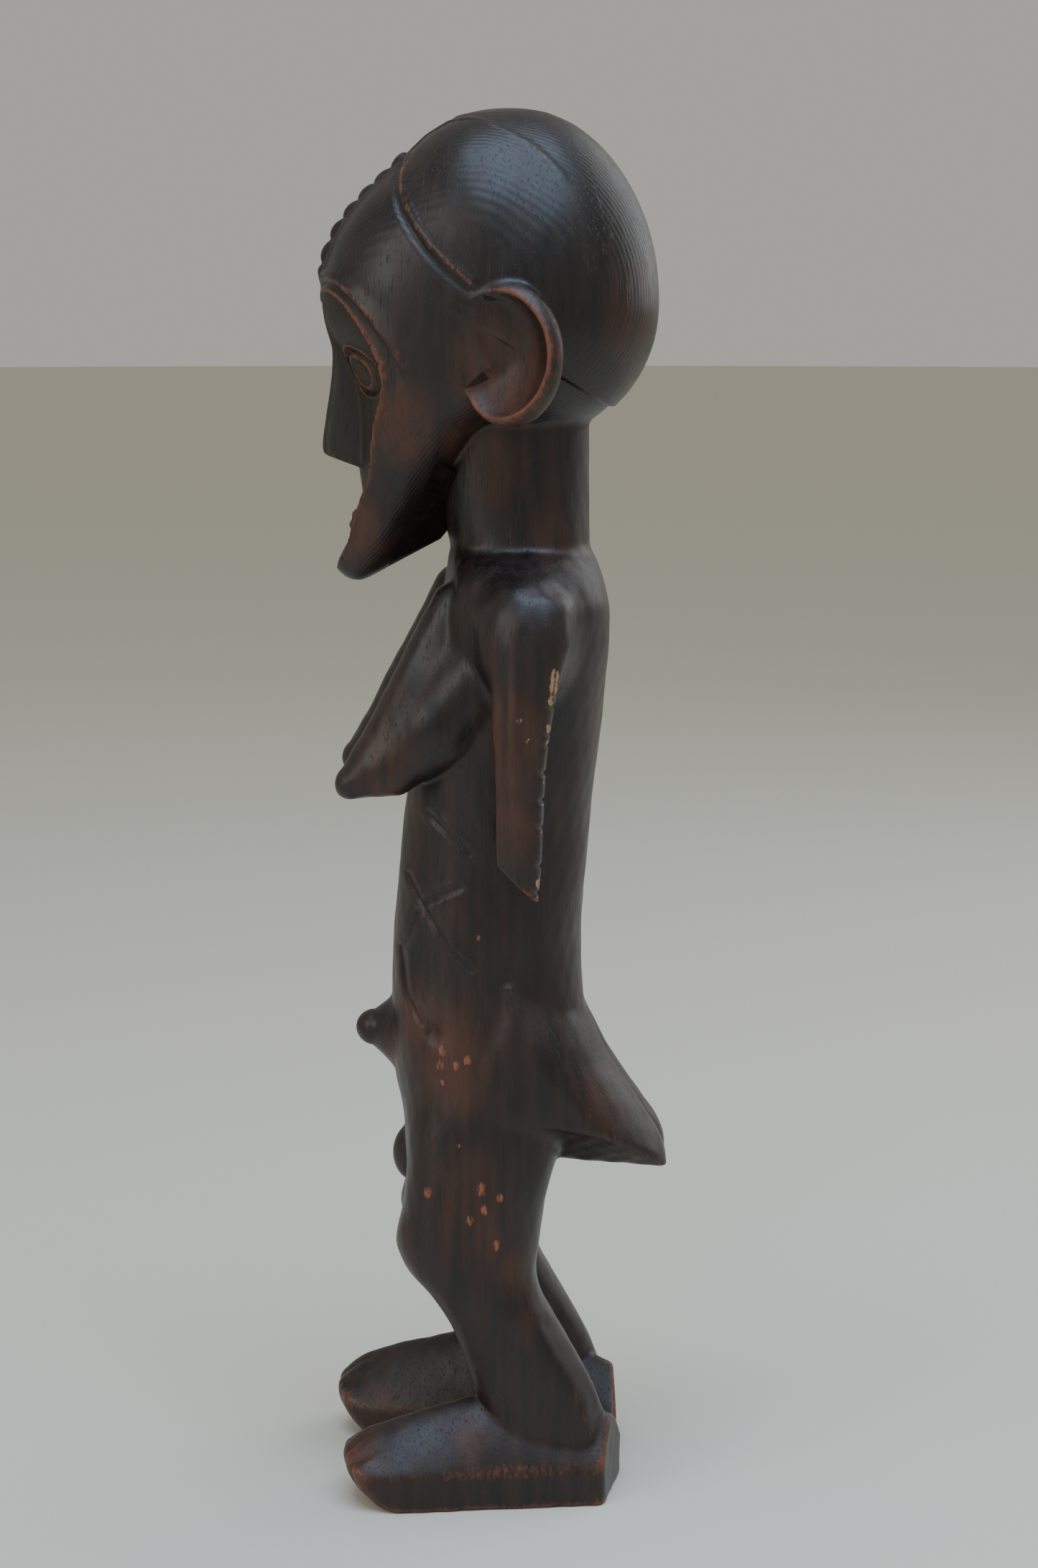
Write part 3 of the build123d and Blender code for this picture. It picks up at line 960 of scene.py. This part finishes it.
def spots(p, places):
    """1 inside each of the listed places, with a soft edge."""
    mask = np.zeros(p[0].shape)
    for x, y, z, radius in places:
        gap = np.sqrt((0.45 * (p[0] - x)) ** 2 + (p[1] - y) ** 2 + (0.7 * (p[2] - z)) ** 2)
        mask = np.maximum(mask, 1 - fade(gap, 0.5 * radius, 1.5 * radius))
    return mask


def marks(wood):
    """Values between 0 and 1 at each point that steer the finish."""
    p = wood.points
    x, y, z = p
    wear, crease = wood.rows[:, 6:8].T
    handled = 1.0 - 0.45 * fade(z, 20, 60) + 0.3 * fade(z, 228, 300)
    under_face = fade(-outline_distance(x, z, HEART_EDGE), 0.0, 2.0) * fade(-y, 20, 27)
    return {
        "wear": np.clip(2.3 * wear * handled, 0.0, 1.0),
        "crease": np.clip(3.0 * crease, 0.0, 1.0),
        "chip": spots(p, CHIPS),
        "rub": spots(p, RUBBED),
        "warm": spots(p, WARM),
        "sunk": under_face,
    }


# ---- sizes and colours that a user may change ----
class CarvingSizes(bpy.types.PropertyGroup):
    """How finely the figure is carved."""

    knife_step: FloatProperty(
        name="Knife Step", description="Smallest detail that the carving keeps", default=0.00062, min=0.0004,
        max=0.003, precision=5, subtype="DISTANCE", unit="LENGTH",
    )
    rough_step: FloatProperty(
        name="Rough Step", description="Smallest detail kept in a quick trial", default=0.0011, min=0.0006,
        max=0.005, precision=5, subtype="DISTANCE", unit="LENGTH",
    )


def colour(name, description, value):
    return FloatVectorProperty(
        name=name, description=description, default=value, subtype="COLOR", min=0.0, max=1.0
    )


class PatinaColours(bpy.types.PropertyGroup):
    """Colours and gloss of the old handled surface."""

    patina: colour("Patina", "Nearly black skin left by smoke, oil and handling", (0.0042, 0.0027, 0.0024))
    heartwood: colour("Heartwood", "Dark brown wood that shows through the skin", (0.028, 0.0105, 0.0062))
    rubbed: colour("Rubbed Edge", "Reddish brown of edges that hands have polished", (0.170, 0.052, 0.022))
    bare: colour("Bare Wood", "Pale wood where the surface has been knocked off", (0.36, 0.20, 0.10))
    dust: colour("Dust", "Dry dirt that lies in the sunk face and the cuts", (0.021, 0.0165, 0.0095))
    gloss: FloatProperty(
        name="Gloss", description="How brightly the handled surface shines", default=0.45, min=0.0, max=1.0,
        subtype="FACTOR",
    )


# ---- finish ----
class Wiring:
    """Adds nodes to one node tree and joins them."""

    def __init__(self, tree):
        self.tree = tree
        self.column = 0

    def node(self, kind, inputs=(), **settings):
        node = self.tree.nodes.new(kind)
        node.location = (190 * self.column, -40 * (self.column % 3))
        self.column += 1
        for field, value in settings.items():
            setattr(node, field, value)
        for socket, value in dict(inputs).items():
            self.feed(node.inputs[socket], value)
        return node

    def feed(self, socket, value):
        if isinstance(value, bpy.types.NodeSocket):
            self.tree.links.new(value, socket)
        else:
            socket.default_value = value

    def math(self, operation, a, b=0.0, clamp=False):
        return self.node("ShaderNodeMath", {0: a, 1: b}, operation=operation, use_clamp=clamp).outputs[0]

    def times(self, a, b):
        return self.math("MULTIPLY", a, b)

    def plus(self, a, b, clamp=False):
        return self.math("ADD", a, b, clamp)

    def minus(self, a, b):
        return self.math("SUBTRACT", a, b)

    def stretch(self, vector, factors):
        inputs = {0: vector, 1: factors}
        return self.node("ShaderNodeVectorMath", inputs, operation="MULTIPLY").outputs[0]

    def noise(self, vector, scale, detail=4.0, roughness=0.55):
        inputs = {"Vector": vector, "Scale": scale, "Detail": detail, "Roughness": roughness}
        return self.node("ShaderNodeTexNoise", inputs, noise_dimensions="3D").outputs["Fac"]

    def step(self, value, start, end, low_value=0.0, high_value=1.0):
        inputs = {"Value": value, 1: start, 2: end, 3: low_value, 4: high_value}
        node = self.node("ShaderNodeMapRange", inputs, interpolation_type="SMOOTHSTEP")
        return node.outputs[0]

    def blend(self, factor, a, b):
        node = self.tree.nodes.new("ShaderNodeMix")
        node.data_type = "RGBA"
        node.location = (190 * self.column, 120)
        self.feed(node.inputs[0], factor)
        self.feed(node.inputs[6], a)
        self.feed(node.inputs[7], b)
        return node.outputs[2]


def effect(name, inputs, outputs, build):
    """A shared node group, made once: build wires it from its input sockets and returns its outputs."""
    if name in bpy.data.node_groups:
        return bpy.data.node_groups[name]
    tree = bpy.data.node_groups.new(name, "ShaderNodeTree")
    for label, kind in inputs:
        tree.interface.new_socket(name=label, in_out="INPUT", socket_type=kind)
    for label, kind in outputs:
        tree.interface.new_socket(name=label, in_out="OUTPUT", socket_type=kind)
    wiring = Wiring(tree)
    start = wiring.node("NodeGroupInput")
    results = build(wiring, {label: start.outputs[label] for label, _ in inputs})
    end = wiring.node("NodeGroupOutput")
    for (label, _), result in zip(outputs, results):
        wiring.feed(end.inputs[label], result)
    return tree


PITH = (-0.055, 0.012, 0.0)  # the growth rings run round an upright line through here, m
RING_PHASE = 7600.0  # gained by the rings in a metre, radians


def grain_effect():
    """Upright grain: broad streaks, fine pores and the height that both give the surface."""

    def build(wiring, given):
        place = given["Place"]
        broad = wiring.noise(wiring.stretch(place, (300.0, 300.0, 26.0)), 1.0, 5.0, 0.6)
        fine = wiring.noise(wiring.stretch(place, (1500.0, 1500.0, 120.0)), 1.0, 3.0, 0.6)
        pores = wiring.step(fine, 0.58, 0.72)
        sway = wiring.noise(place, 45.0, 2.0, 0.5)
        ends = {0: place, 1: PITH}
        from_pith = wiring.node("ShaderNodeVectorMath", ends, operation="SUBTRACT")
        flat = wiring.stretch(from_pith.outputs[0], (1.0, 1.0, 0.05))
        reach = wiring.node("ShaderNodeVectorMath", {0: flat}, operation="LENGTH").outputs["Value"]
        turns = wiring.plus(wiring.times(reach, RING_PHASE), wiring.times(sway, 9.0))
        rings = wiring.times(wiring.math("SINE", turns), given["Rings"])
        height = wiring.minus(wiring.times(broad, 0.5), wiring.times(pores, 0.5))
        return broad, pores, wiring.plus(height, rings)

    return effect(
        "Upright Grain",
        [("Place", "NodeSocketVector"), ("Rings", "NodeSocketFloat")],
        [("Streaks", "NodeSocketFloat"), ("Pores", "NodeSocketFloat"), ("Height", "NodeSocketFloat")],
        build,
    )


def wear_effect():
    """Ragged mask of a worn edge or spot, broken up by the grain."""

    def build(wiring, given):
        speckle = wiring.noise(wiring.stretch(given["Place"], (950.0, 950.0, 380.0)), 1.0, 5.0, 0.65)
        ragged = wiring.plus(given["Amount"], wiring.times(speckle, 0.9))
        return (wiring.step(ragged, given["Start"], given["End"]),)

    inputs = [(label, "NodeSocketFloat") for label in ("Amount", "Start", "End")]
    inputs.insert(0, ("Place", "NodeSocketVector"))
    return effect("Ragged Wear", inputs, [("Mask", "NodeSocketFloat")], build)


def stain_effect():
    """Slow variation of the patina: cloudy stains and small dry specks."""

    def build(wiring, given):
        clouds = wiring.noise(wiring.stretch(given["Place"], (34.0, 34.0, 20.0)), 1.0, 6.0, 0.6)
        specks = wiring.noise(given["Place"], 900.0, 2.0, 0.5)
        return wiring.step(clouds, 0.40, 0.66), wiring.step(specks, 0.66, 0.76)

    outputs = [("Clouds", "NodeSocketFloat"), ("Specks", "NodeSocketFloat")]
    return effect("Patina Stains", [("Place", "NodeSocketVector")], outputs, build)


# How each finish differs: how far wear reaches, share of brown in the patina, dust, roughness, relief of
# the grain, strength of the growth rings.
FINISHES = {
    "body_wood": (0.58, 0.70, 0.25, 0.44, 0.50, 0.02),
    "hair_wood": (0.72, 0.45, 0.15, 0.42, 0.45, 0.11),
    "face_wood": (0.60, 0.70, 1.00, 0.50, 0.55, 0.0),
    "ear_wood": (0.52, 0.95, 0.30, 0.48, 0.45, 0.03),
}


def mark(wiring, name):
    return wiring.node("ShaderNodeAttribute", attribute_name=name, attribute_type="GEOMETRY").outputs["Fac"]


def wood_material(name):
    """Old handled hardwood: dark patina over brown, rubbed red on its edges, pale where it is chipped."""
    finish = "finished_" + name
    if finish in bpy.data.materials:
        return bpy.data.materials[finish]
    colours = bpy.context.scene.patina_colours
    reach, brown, dusty, dull, relief, rings = FINISHES[name]
    material = bpy.data.materials.new(finish)
    material.use_nodes = True
    material.node_tree.nodes.clear()
    w = Wiring(material.node_tree)
    place = w.node("ShaderNodeTexCoord").outputs["Object"]
    grain = w.node("ShaderNodeGroup", node_tree=grain_effect())
    stains = w.node("ShaderNodeGroup", node_tree=stain_effect())
    w.feed(grain.inputs["Place"], place)
    w.feed(grain.inputs["Rings"], rings)
    w.feed(stains.inputs["Place"], place)

    def ragged(amount, start, end):
        node = w.node("ShaderNodeGroup", node_tree=wear_effect())
        for socket, value in (("Place", place), ("Amount", amount), ("Start", start), ("End", end)):
            w.feed(node.inputs[socket], value)
        return node.outputs["Mask"]

    streaks, pores, clouds = grain.outputs["Streaks"], grain.outputs["Pores"], stains.outputs["Clouds"]
    shade = w.times(w.step(streaks, 0.36, 0.70), brown)
    shade = w.plus(shade, w.times(clouds, 0.5 * brown), clamp=True)
    base = w.blend(shade, (*colours.patina, 1), (*colours.heartwood, 1))
    sunk = w.times(mark(w, "sunk"), 0.75 * dusty)
    dust_amount = w.plus(w.times(mark(w, "crease"), 0.35 * dusty), sunk, clamp=True)
    dust_amount = w.times(dust_amount, w.step(streaks, 0.25, 0.62, 0.35, 1.0))
    base = w.blend(dust_amount, base, (*colours.dust, 1))
    warm = w.times(mark(w, "warm"), w.step(clouds, 0.0, 1.0, 0.35, 0.85))
    warm = w.times(warm, w.step(streaks, 0.30, 0.62, 0.45, 1.0))
    base = w.blend(warm, base, (*[0.42 * c for c in colours.rubbed], 1))
    worn = ragged(mark(w, "wear"), reach, reach + 0.50)
    base = w.blend(w.times(worn, 0.9), base, (*colours.rubbed, 1))
    rubbed = ragged(mark(w, "rub"), 1.32, 1.52)
    base = w.blend(rubbed, base, (*[min(1.0, 1.5 * c) for c in colours.rubbed], 1))
    chipped = ragged(mark(w, "chip"), 1.36, 1.46)
    base = w.blend(chipped, base, (*colours.bare, 1))
    base = w.blend(w.times(pores, 0.40), base, (*[0.6 * c for c in colours.patina], 1))

    rough = w.plus(w.times(clouds, 0.10), w.times(streaks, 0.16))
    rough = w.plus(rough, dull - 0.12)
    rough = w.plus(rough, w.times(dust_amount, 0.30))
    rough = w.plus(rough, w.times(chipped, 0.30), clamp=True)
    height = w.minus(grain.outputs["Height"], w.times(stains.outputs["Specks"], 0.25))
    height = w.minus(height, w.times(chipped, 0.9))
    relief_node = w.node("ShaderNodeBump", {"Strength": relief, "Distance": 0.00035, "Height": height})
    surface = w.node("ShaderNodeBsdfPrincipled")
    w.feed(surface.inputs["Base Color"], base)
    w.feed(surface.inputs["Roughness"], rough)
    w.feed(surface.inputs["Normal"], relief_node.outputs["Normal"])
    surface.inputs["Specular IOR Level"].default_value = colours.gloss
    surface.inputs["Coat Weight"].default_value = 0.12
    surface.inputs["Coat Roughness"].default_value = 0.34
    w.feed(w.node("ShaderNodeOutputMaterial").inputs["Surface"], surface.outputs[0])
    return material


def place_pair(name, wood, material):
    """Put the separate left and right woods of a pair in the scene."""
    for side, half in two_sides(wood).items():
        place_piece(f"{side}_{name}", half, material)


def place_halves(name, wood):
    """Part a wood at the middle of the figure, and put both halves in the scene."""
    for side, half in zip(("left", "right"), saw(wood, wood.points[0])):
        place_piece(f"{side}_{name}", half, "body_wood")


# ---- operators ----
class CARVING_OT_block(bpy.types.Operator):
    """Carve the whole figure from one block, ready for the saw"""

    bl_idname = "carving.block"
    bl_label = "Carve the Block"

    def execute(self, context):
        sizes = context.scene.carving_sizes
        whole = carve_block(sizes.knife_step / MM)
        _, y, z = whole.points
        collar = NECK_BASE - 0.5 + 0.06 * y - 1.8 * np.maximum(0.0, -17.0 - y)
        BENCH["head"], BENCH["rest"] = saw(whole, z - collar)
        return {"FINISHED"}


class CARVING_OT_ears(bpy.types.Operator):
    """Saw off and finish the two cupped ears"""

    bl_idname = "carving.ears"
    bl_label = "Ears"

    def execute(self, context):
        p = BENCH["head"].points
        place_pair("ear", saw_off("head", np.minimum(carved_face(p), neck(p)) - ear(p)), "ear_wood")
        return {"FINISHED"}


class CARVING_OT_features(bpy.types.Operator):
    """Saw off and finish the nose, the eyes and the mouth"""

    bl_idname = "carving.features"
    bl_label = "Nose, Eyes and Mouth"

    def execute(self, context):
        p = BENCH["head"].points
        side = np.where(p[1] < -27, carved_face(p) - nose(p), -1.0)
        place_piece("nose", saw_off("head", side, sink=(0, 3, 0)), "face_wood")
        p = BENCH["head"].points
        side = np.where(p[1] < -20, EYE_SAW - eye_ring(p), -1.0)
        place_pair("eye", saw_off("head", side, sink=(0, 2, 0)), "face_wood")
        p = BENCH["head"].points
        side = np.where(p[1] < -26, MOUTH_SAW - mouth_ring(p), -1.0)
        place_piece("mouth", saw_off("head", side, sink=(0, 2, 0)), "face_wood")
        return {"FINISHED"}


class CARVING_OT_crest(bpy.types.Operator):
    """Saw off and finish the notched crest up the middle of the forehead"""

    bl_idname = "carving.crest"
    bl_label = "Forehead Crest"

    def execute(self, context):
        p = BENCH["head"].points
        along = along_crest(p)
        ends = np.minimum(40 * (along + 0.03), 40 * (1.02 - along))
        wood = saw_off("head", np.minimum(5.0 - np.abs(p[0]), ends), sink=(0, 5, -5))
        place_piece("forehead_crest", wood, "hair_wood")
        return {"FINISHED"}


class CARVING_OT_face(bpy.types.Operator):
    """Saw off and finish the sunk heart-shaped face"""

    bl_idname = "carving.face"
    bl_label = "Face"

    def execute(self, context):
        x, y, z = BENCH["head"].points
        edge = outline_distance(x, z, HEART_EDGE)
        wood = saw_off("head", np.minimum(0.4 - edge, -14.0 - y), sink=(0, 12, 0))
        place_piece("face", wood, "face_wood")
        return {"FINISHED"}


class CARVING_OT_hair(bpy.types.Operator):
    """Saw off and finish the domed hair with the raised rim round each lobe"""

    bl_idname = "carving.hair"
    bl_label = "Hair"

    def execute(self, context):
        _, y, z = BENCH["head"].points
        wood = saw_off("head", -outline_distance(y, z, HAIRLINE + [(60.0, 400.0)]))
        place_piece("hair", wood, "hair_wood", ["hair_dome", "hairline_rim"])
        return {"FINISHED"}


class CARVING_OT_head(bpy.types.Operator):
    """Saw the neck from the cheeks and forehead, and finish both"""

    bl_idname = "carving.head"
    bl_label = "Head and Neck"

    def execute(self, context):
        p = BENCH["head"].points
        wood = saw_off("head", np.minimum(carved_face(p) - neck(p), 290.0 - p[2]))
        place_piece("neck", wood, "body_wood")
        place_piece("skull", BENCH["head"], "hair_wood")
        return {"FINISHED"}


class CARVING_OT_breasts(bpy.types.Operator):
    """Saw off and finish the two long breasts"""

    bl_idname = "carving.breasts"
    bl_label = "Breasts"

    def execute(self, context):
        p = BENCH["rest"].points
        behind = np.minimum(trunk(p), arm(p))
        side = np.where((p[2] > BREAST_LEVEL) & (p[1] < 2), behind - breast(p), -1.0)
        place_pair("breast", saw_off("rest", side, sink=(0, 5, 0)), "body_wood")
        return {"FINISHED"}


class CARVING_OT_arms(bpy.types.Operator):
    """Saw off and finish the two flat arms"""

    bl_idname = "carving.arms"
    bl_label = "Arms"

    def execute(self, context):
        p = BENCH["rest"].points
        bottom, top = ARM_LEVELS
        side = np.where((p[2] > bottom) & (p[2] < top), trunk(p) - arm(p), -1.0)
        place_pair("arm", saw_off("rest", side), "body_wood")
        return {"FINISHED"}


class CARVING_OT_belly(bpy.types.Operator):
    """Saw off and finish the navel and the pubic boss"""

    bl_idname = "carving.belly"
    bl_label = "Navel and Pubic Boss"

    def execute(self, context):
        p = BENCH["rest"].points
        wood = saw_off("rest", np.where(p[1] < -15, trunk(p) - navel(p), -1.0))
        place_piece("navel", wood, "body_wood")
        p = BENCH["rest"].points
        side = np.where(p[1] < -10, np.minimum(trunk(p), legs(p)) - pubic_boss(p), -1.0)
        place_piece("pubic_boss", saw_off("rest", side, sink=(0, 3, 0)), "body_wood")
        return {"FINISHED"}


class CARVING_OT_buttocks(bpy.types.Operator):
    """Saw off and finish the two buttocks"""

    bl_idname = "carving.buttocks"
    bl_label = "Buttocks"

    def execute(self, context):
        p = BENCH["rest"].points
        around = np.minimum(trunk(p), legs(p))
        side = np.where((p[1] > 4) & (p[2] > BUTTOCK_LEVEL) & (p[2] < 130), around - buttock(p), -1.0)
        place_halves("buttock", saw_off("rest", side))
        return {"FINISHED"}


class CARVING_OT_trunk(bpy.types.Operator):
    """Saw the trunk into chest, abdomen and hips, and finish them"""

    bl_idname = "carving.trunk"
    bl_label = "Trunk"

    def execute(self, context):
        for name, level in (("chest", CHEST_BASE), ("abdomen", WAIST), ("hips", CROTCH)):
            place_piece(name, saw_off("rest", BENCH["rest"].points[2] - level), "body_wood")
        return {"FINISHED"}


class CARVING_OT_legs(bpy.types.Operator):
    """Saw off and finish the thighs and the shins"""

    bl_idname = "carving.legs"
    bl_label = "Thighs and Shins"

    def execute(self, context):
        place_halves("thigh", saw_off("rest", BENCH["rest"].points[2] - KNEE))
        p = BENCH["rest"].points
        side = np.where(p[2] < FOOT_LEVEL, feet(p) - legs(p), 1.0)
        place_pair("shin", saw_off("rest", side), "body_wood")
        return {"FINISHED"}


class CARVING_OT_feet(bpy.types.Operator):
    """Finish the two broad feet that are left of the block"""

    bl_idname = "carving.feet"
    bl_label = "Feet"

    def execute(self, context):
        place_pair("foot", BENCH["rest"], "body_wood")
        return {"FINISHED"}


def floor_material():
    material = bpy.data.materials.new("pale_floor")
    material.use_nodes = True
    surface = material.node_tree.nodes["Principled BSDF"]
    surface.inputs["Base Color"].default_value = (0.70, 0.67, 0.58, 1)
    surface.inputs["Roughness"].default_value = 0.75
    return material


def soft_light(name, place, aim, size, watts, tint):
    """A large square light that faces its aim."""
    lamp = bpy.data.lights.new(name, "AREA")
    lamp.shape = "SQUARE"
    lamp.size, lamp.energy, lamp.color = size, watts, tint
    light = bpy.data.objects.new(name, lamp)
    light.location = place
    light.rotation_euler = (Vector(aim) - Vector(place)).to_track_quat("-Z", "Y").to_euler()
    bpy.context.collection.objects.link(light)


class CARVING_OT_stage(bpy.types.Operator):
    """Lay a pale floor, hang soft studio lights and set the camera level with the figure's side"""

    bl_idname = "carving.stage"
    bl_label = "Stage"

    def execute(self, context):
        turns = [2 * math.pi * i / 96 for i in range(96)]
        mesh = bpy.data.meshes.new("floor")
        mesh.from_pydata([(9 * math.cos(a), 9 * math.sin(a), 0.0) for a in turns], [], [tuple(range(96))])
        mesh.materials.append(floor_material())
        floor = bpy.data.objects.new("floor", mesh)
        context.collection.objects.link(floor)
        world = bpy.data.worlds.new("studio")
        world.use_nodes = True
        world.node_tree.nodes["Background"].inputs[0].default_value = (0.86, 0.84, 0.76, 1)
        world.node_tree.nodes["Background"].inputs[1].default_value = 0.50
        context.scene.world = world
        waist = (0.0, 0.0, 0.18)
        soft_light("overhead_light", (0.35, 0.10, 1.10), waist, 0.9, 12.0, (0.55, 0.74, 1.0))
        soft_light("front_light", (0.75, -0.95, 0.65), waist, 0.7, 4.0, (1.0, 0.95, 0.88))
        soft_light("back_light", (-0.60, 0.80, 0.70), waist, 0.9, 4.0, (0.90, 0.95, 1.0))
        lens = bpy.data.cameras.new("camera")
        lens.lens, lens.sensor_width = 50.0, 23.6
        camera = bpy.data.objects.new("camera", lens)
        camera.location = (0.8369, 0.006, 0.3134)
        camera.rotation_euler = (math.radians(81.0), 0.0, math.radians(90.0))
        context.collection.objects.link(camera)
        context.scene.camera = camera
        return {"FINISHED"}


STEPS = (
    CARVING_OT_block, CARVING_OT_ears, CARVING_OT_features, CARVING_OT_crest, CARVING_OT_face,
    CARVING_OT_hair, CARVING_OT_head, CARVING_OT_breasts, CARVING_OT_arms, CARVING_OT_belly,
    CARVING_OT_buttocks, CARVING_OT_trunk, CARVING_OT_legs, CARVING_OT_feet, CARVING_OT_stage,
)


class CARVING_PT_steps(bpy.types.Panel):
    """Sizes, colours and the steps of the carving, in order"""

    bl_idname = "CARVING_PT_steps"
    bl_label = "Carved Figure"
    bl_space_type = "VIEW_3D"
    bl_region_type = "UI"
    bl_category = "Carving"

    def draw(self, context):
        for group in (context.scene.carving_sizes, context.scene.patina_colours):
            for name in group.__annotations__:
                self.layout.prop(group, name)
        for step in STEPS:
            self.layout.operator(step.bl_idname)


CLASSES = (CarvingSizes, PatinaColours, *STEPS, CARVING_PT_steps)


def register():
    for kind in CLASSES:
        bpy.utils.register_class(kind)
    bpy.types.Scene.carving_sizes = PointerProperty(type=CarvingSizes)
    bpy.types.Scene.patina_colours = PointerProperty(type=PatinaColours)


def unregister():
    del bpy.types.Scene.patina_colours
    del bpy.types.Scene.carving_sizes
    for kind in reversed(CLASSES):
        bpy.utils.unregister_class(kind)


def main():
    register()
    for step in STEPS:
        group, name = step.bl_idname.split(".")
        getattr(getattr(bpy.ops, group), name)()


if __name__ == "__main__":
    main()
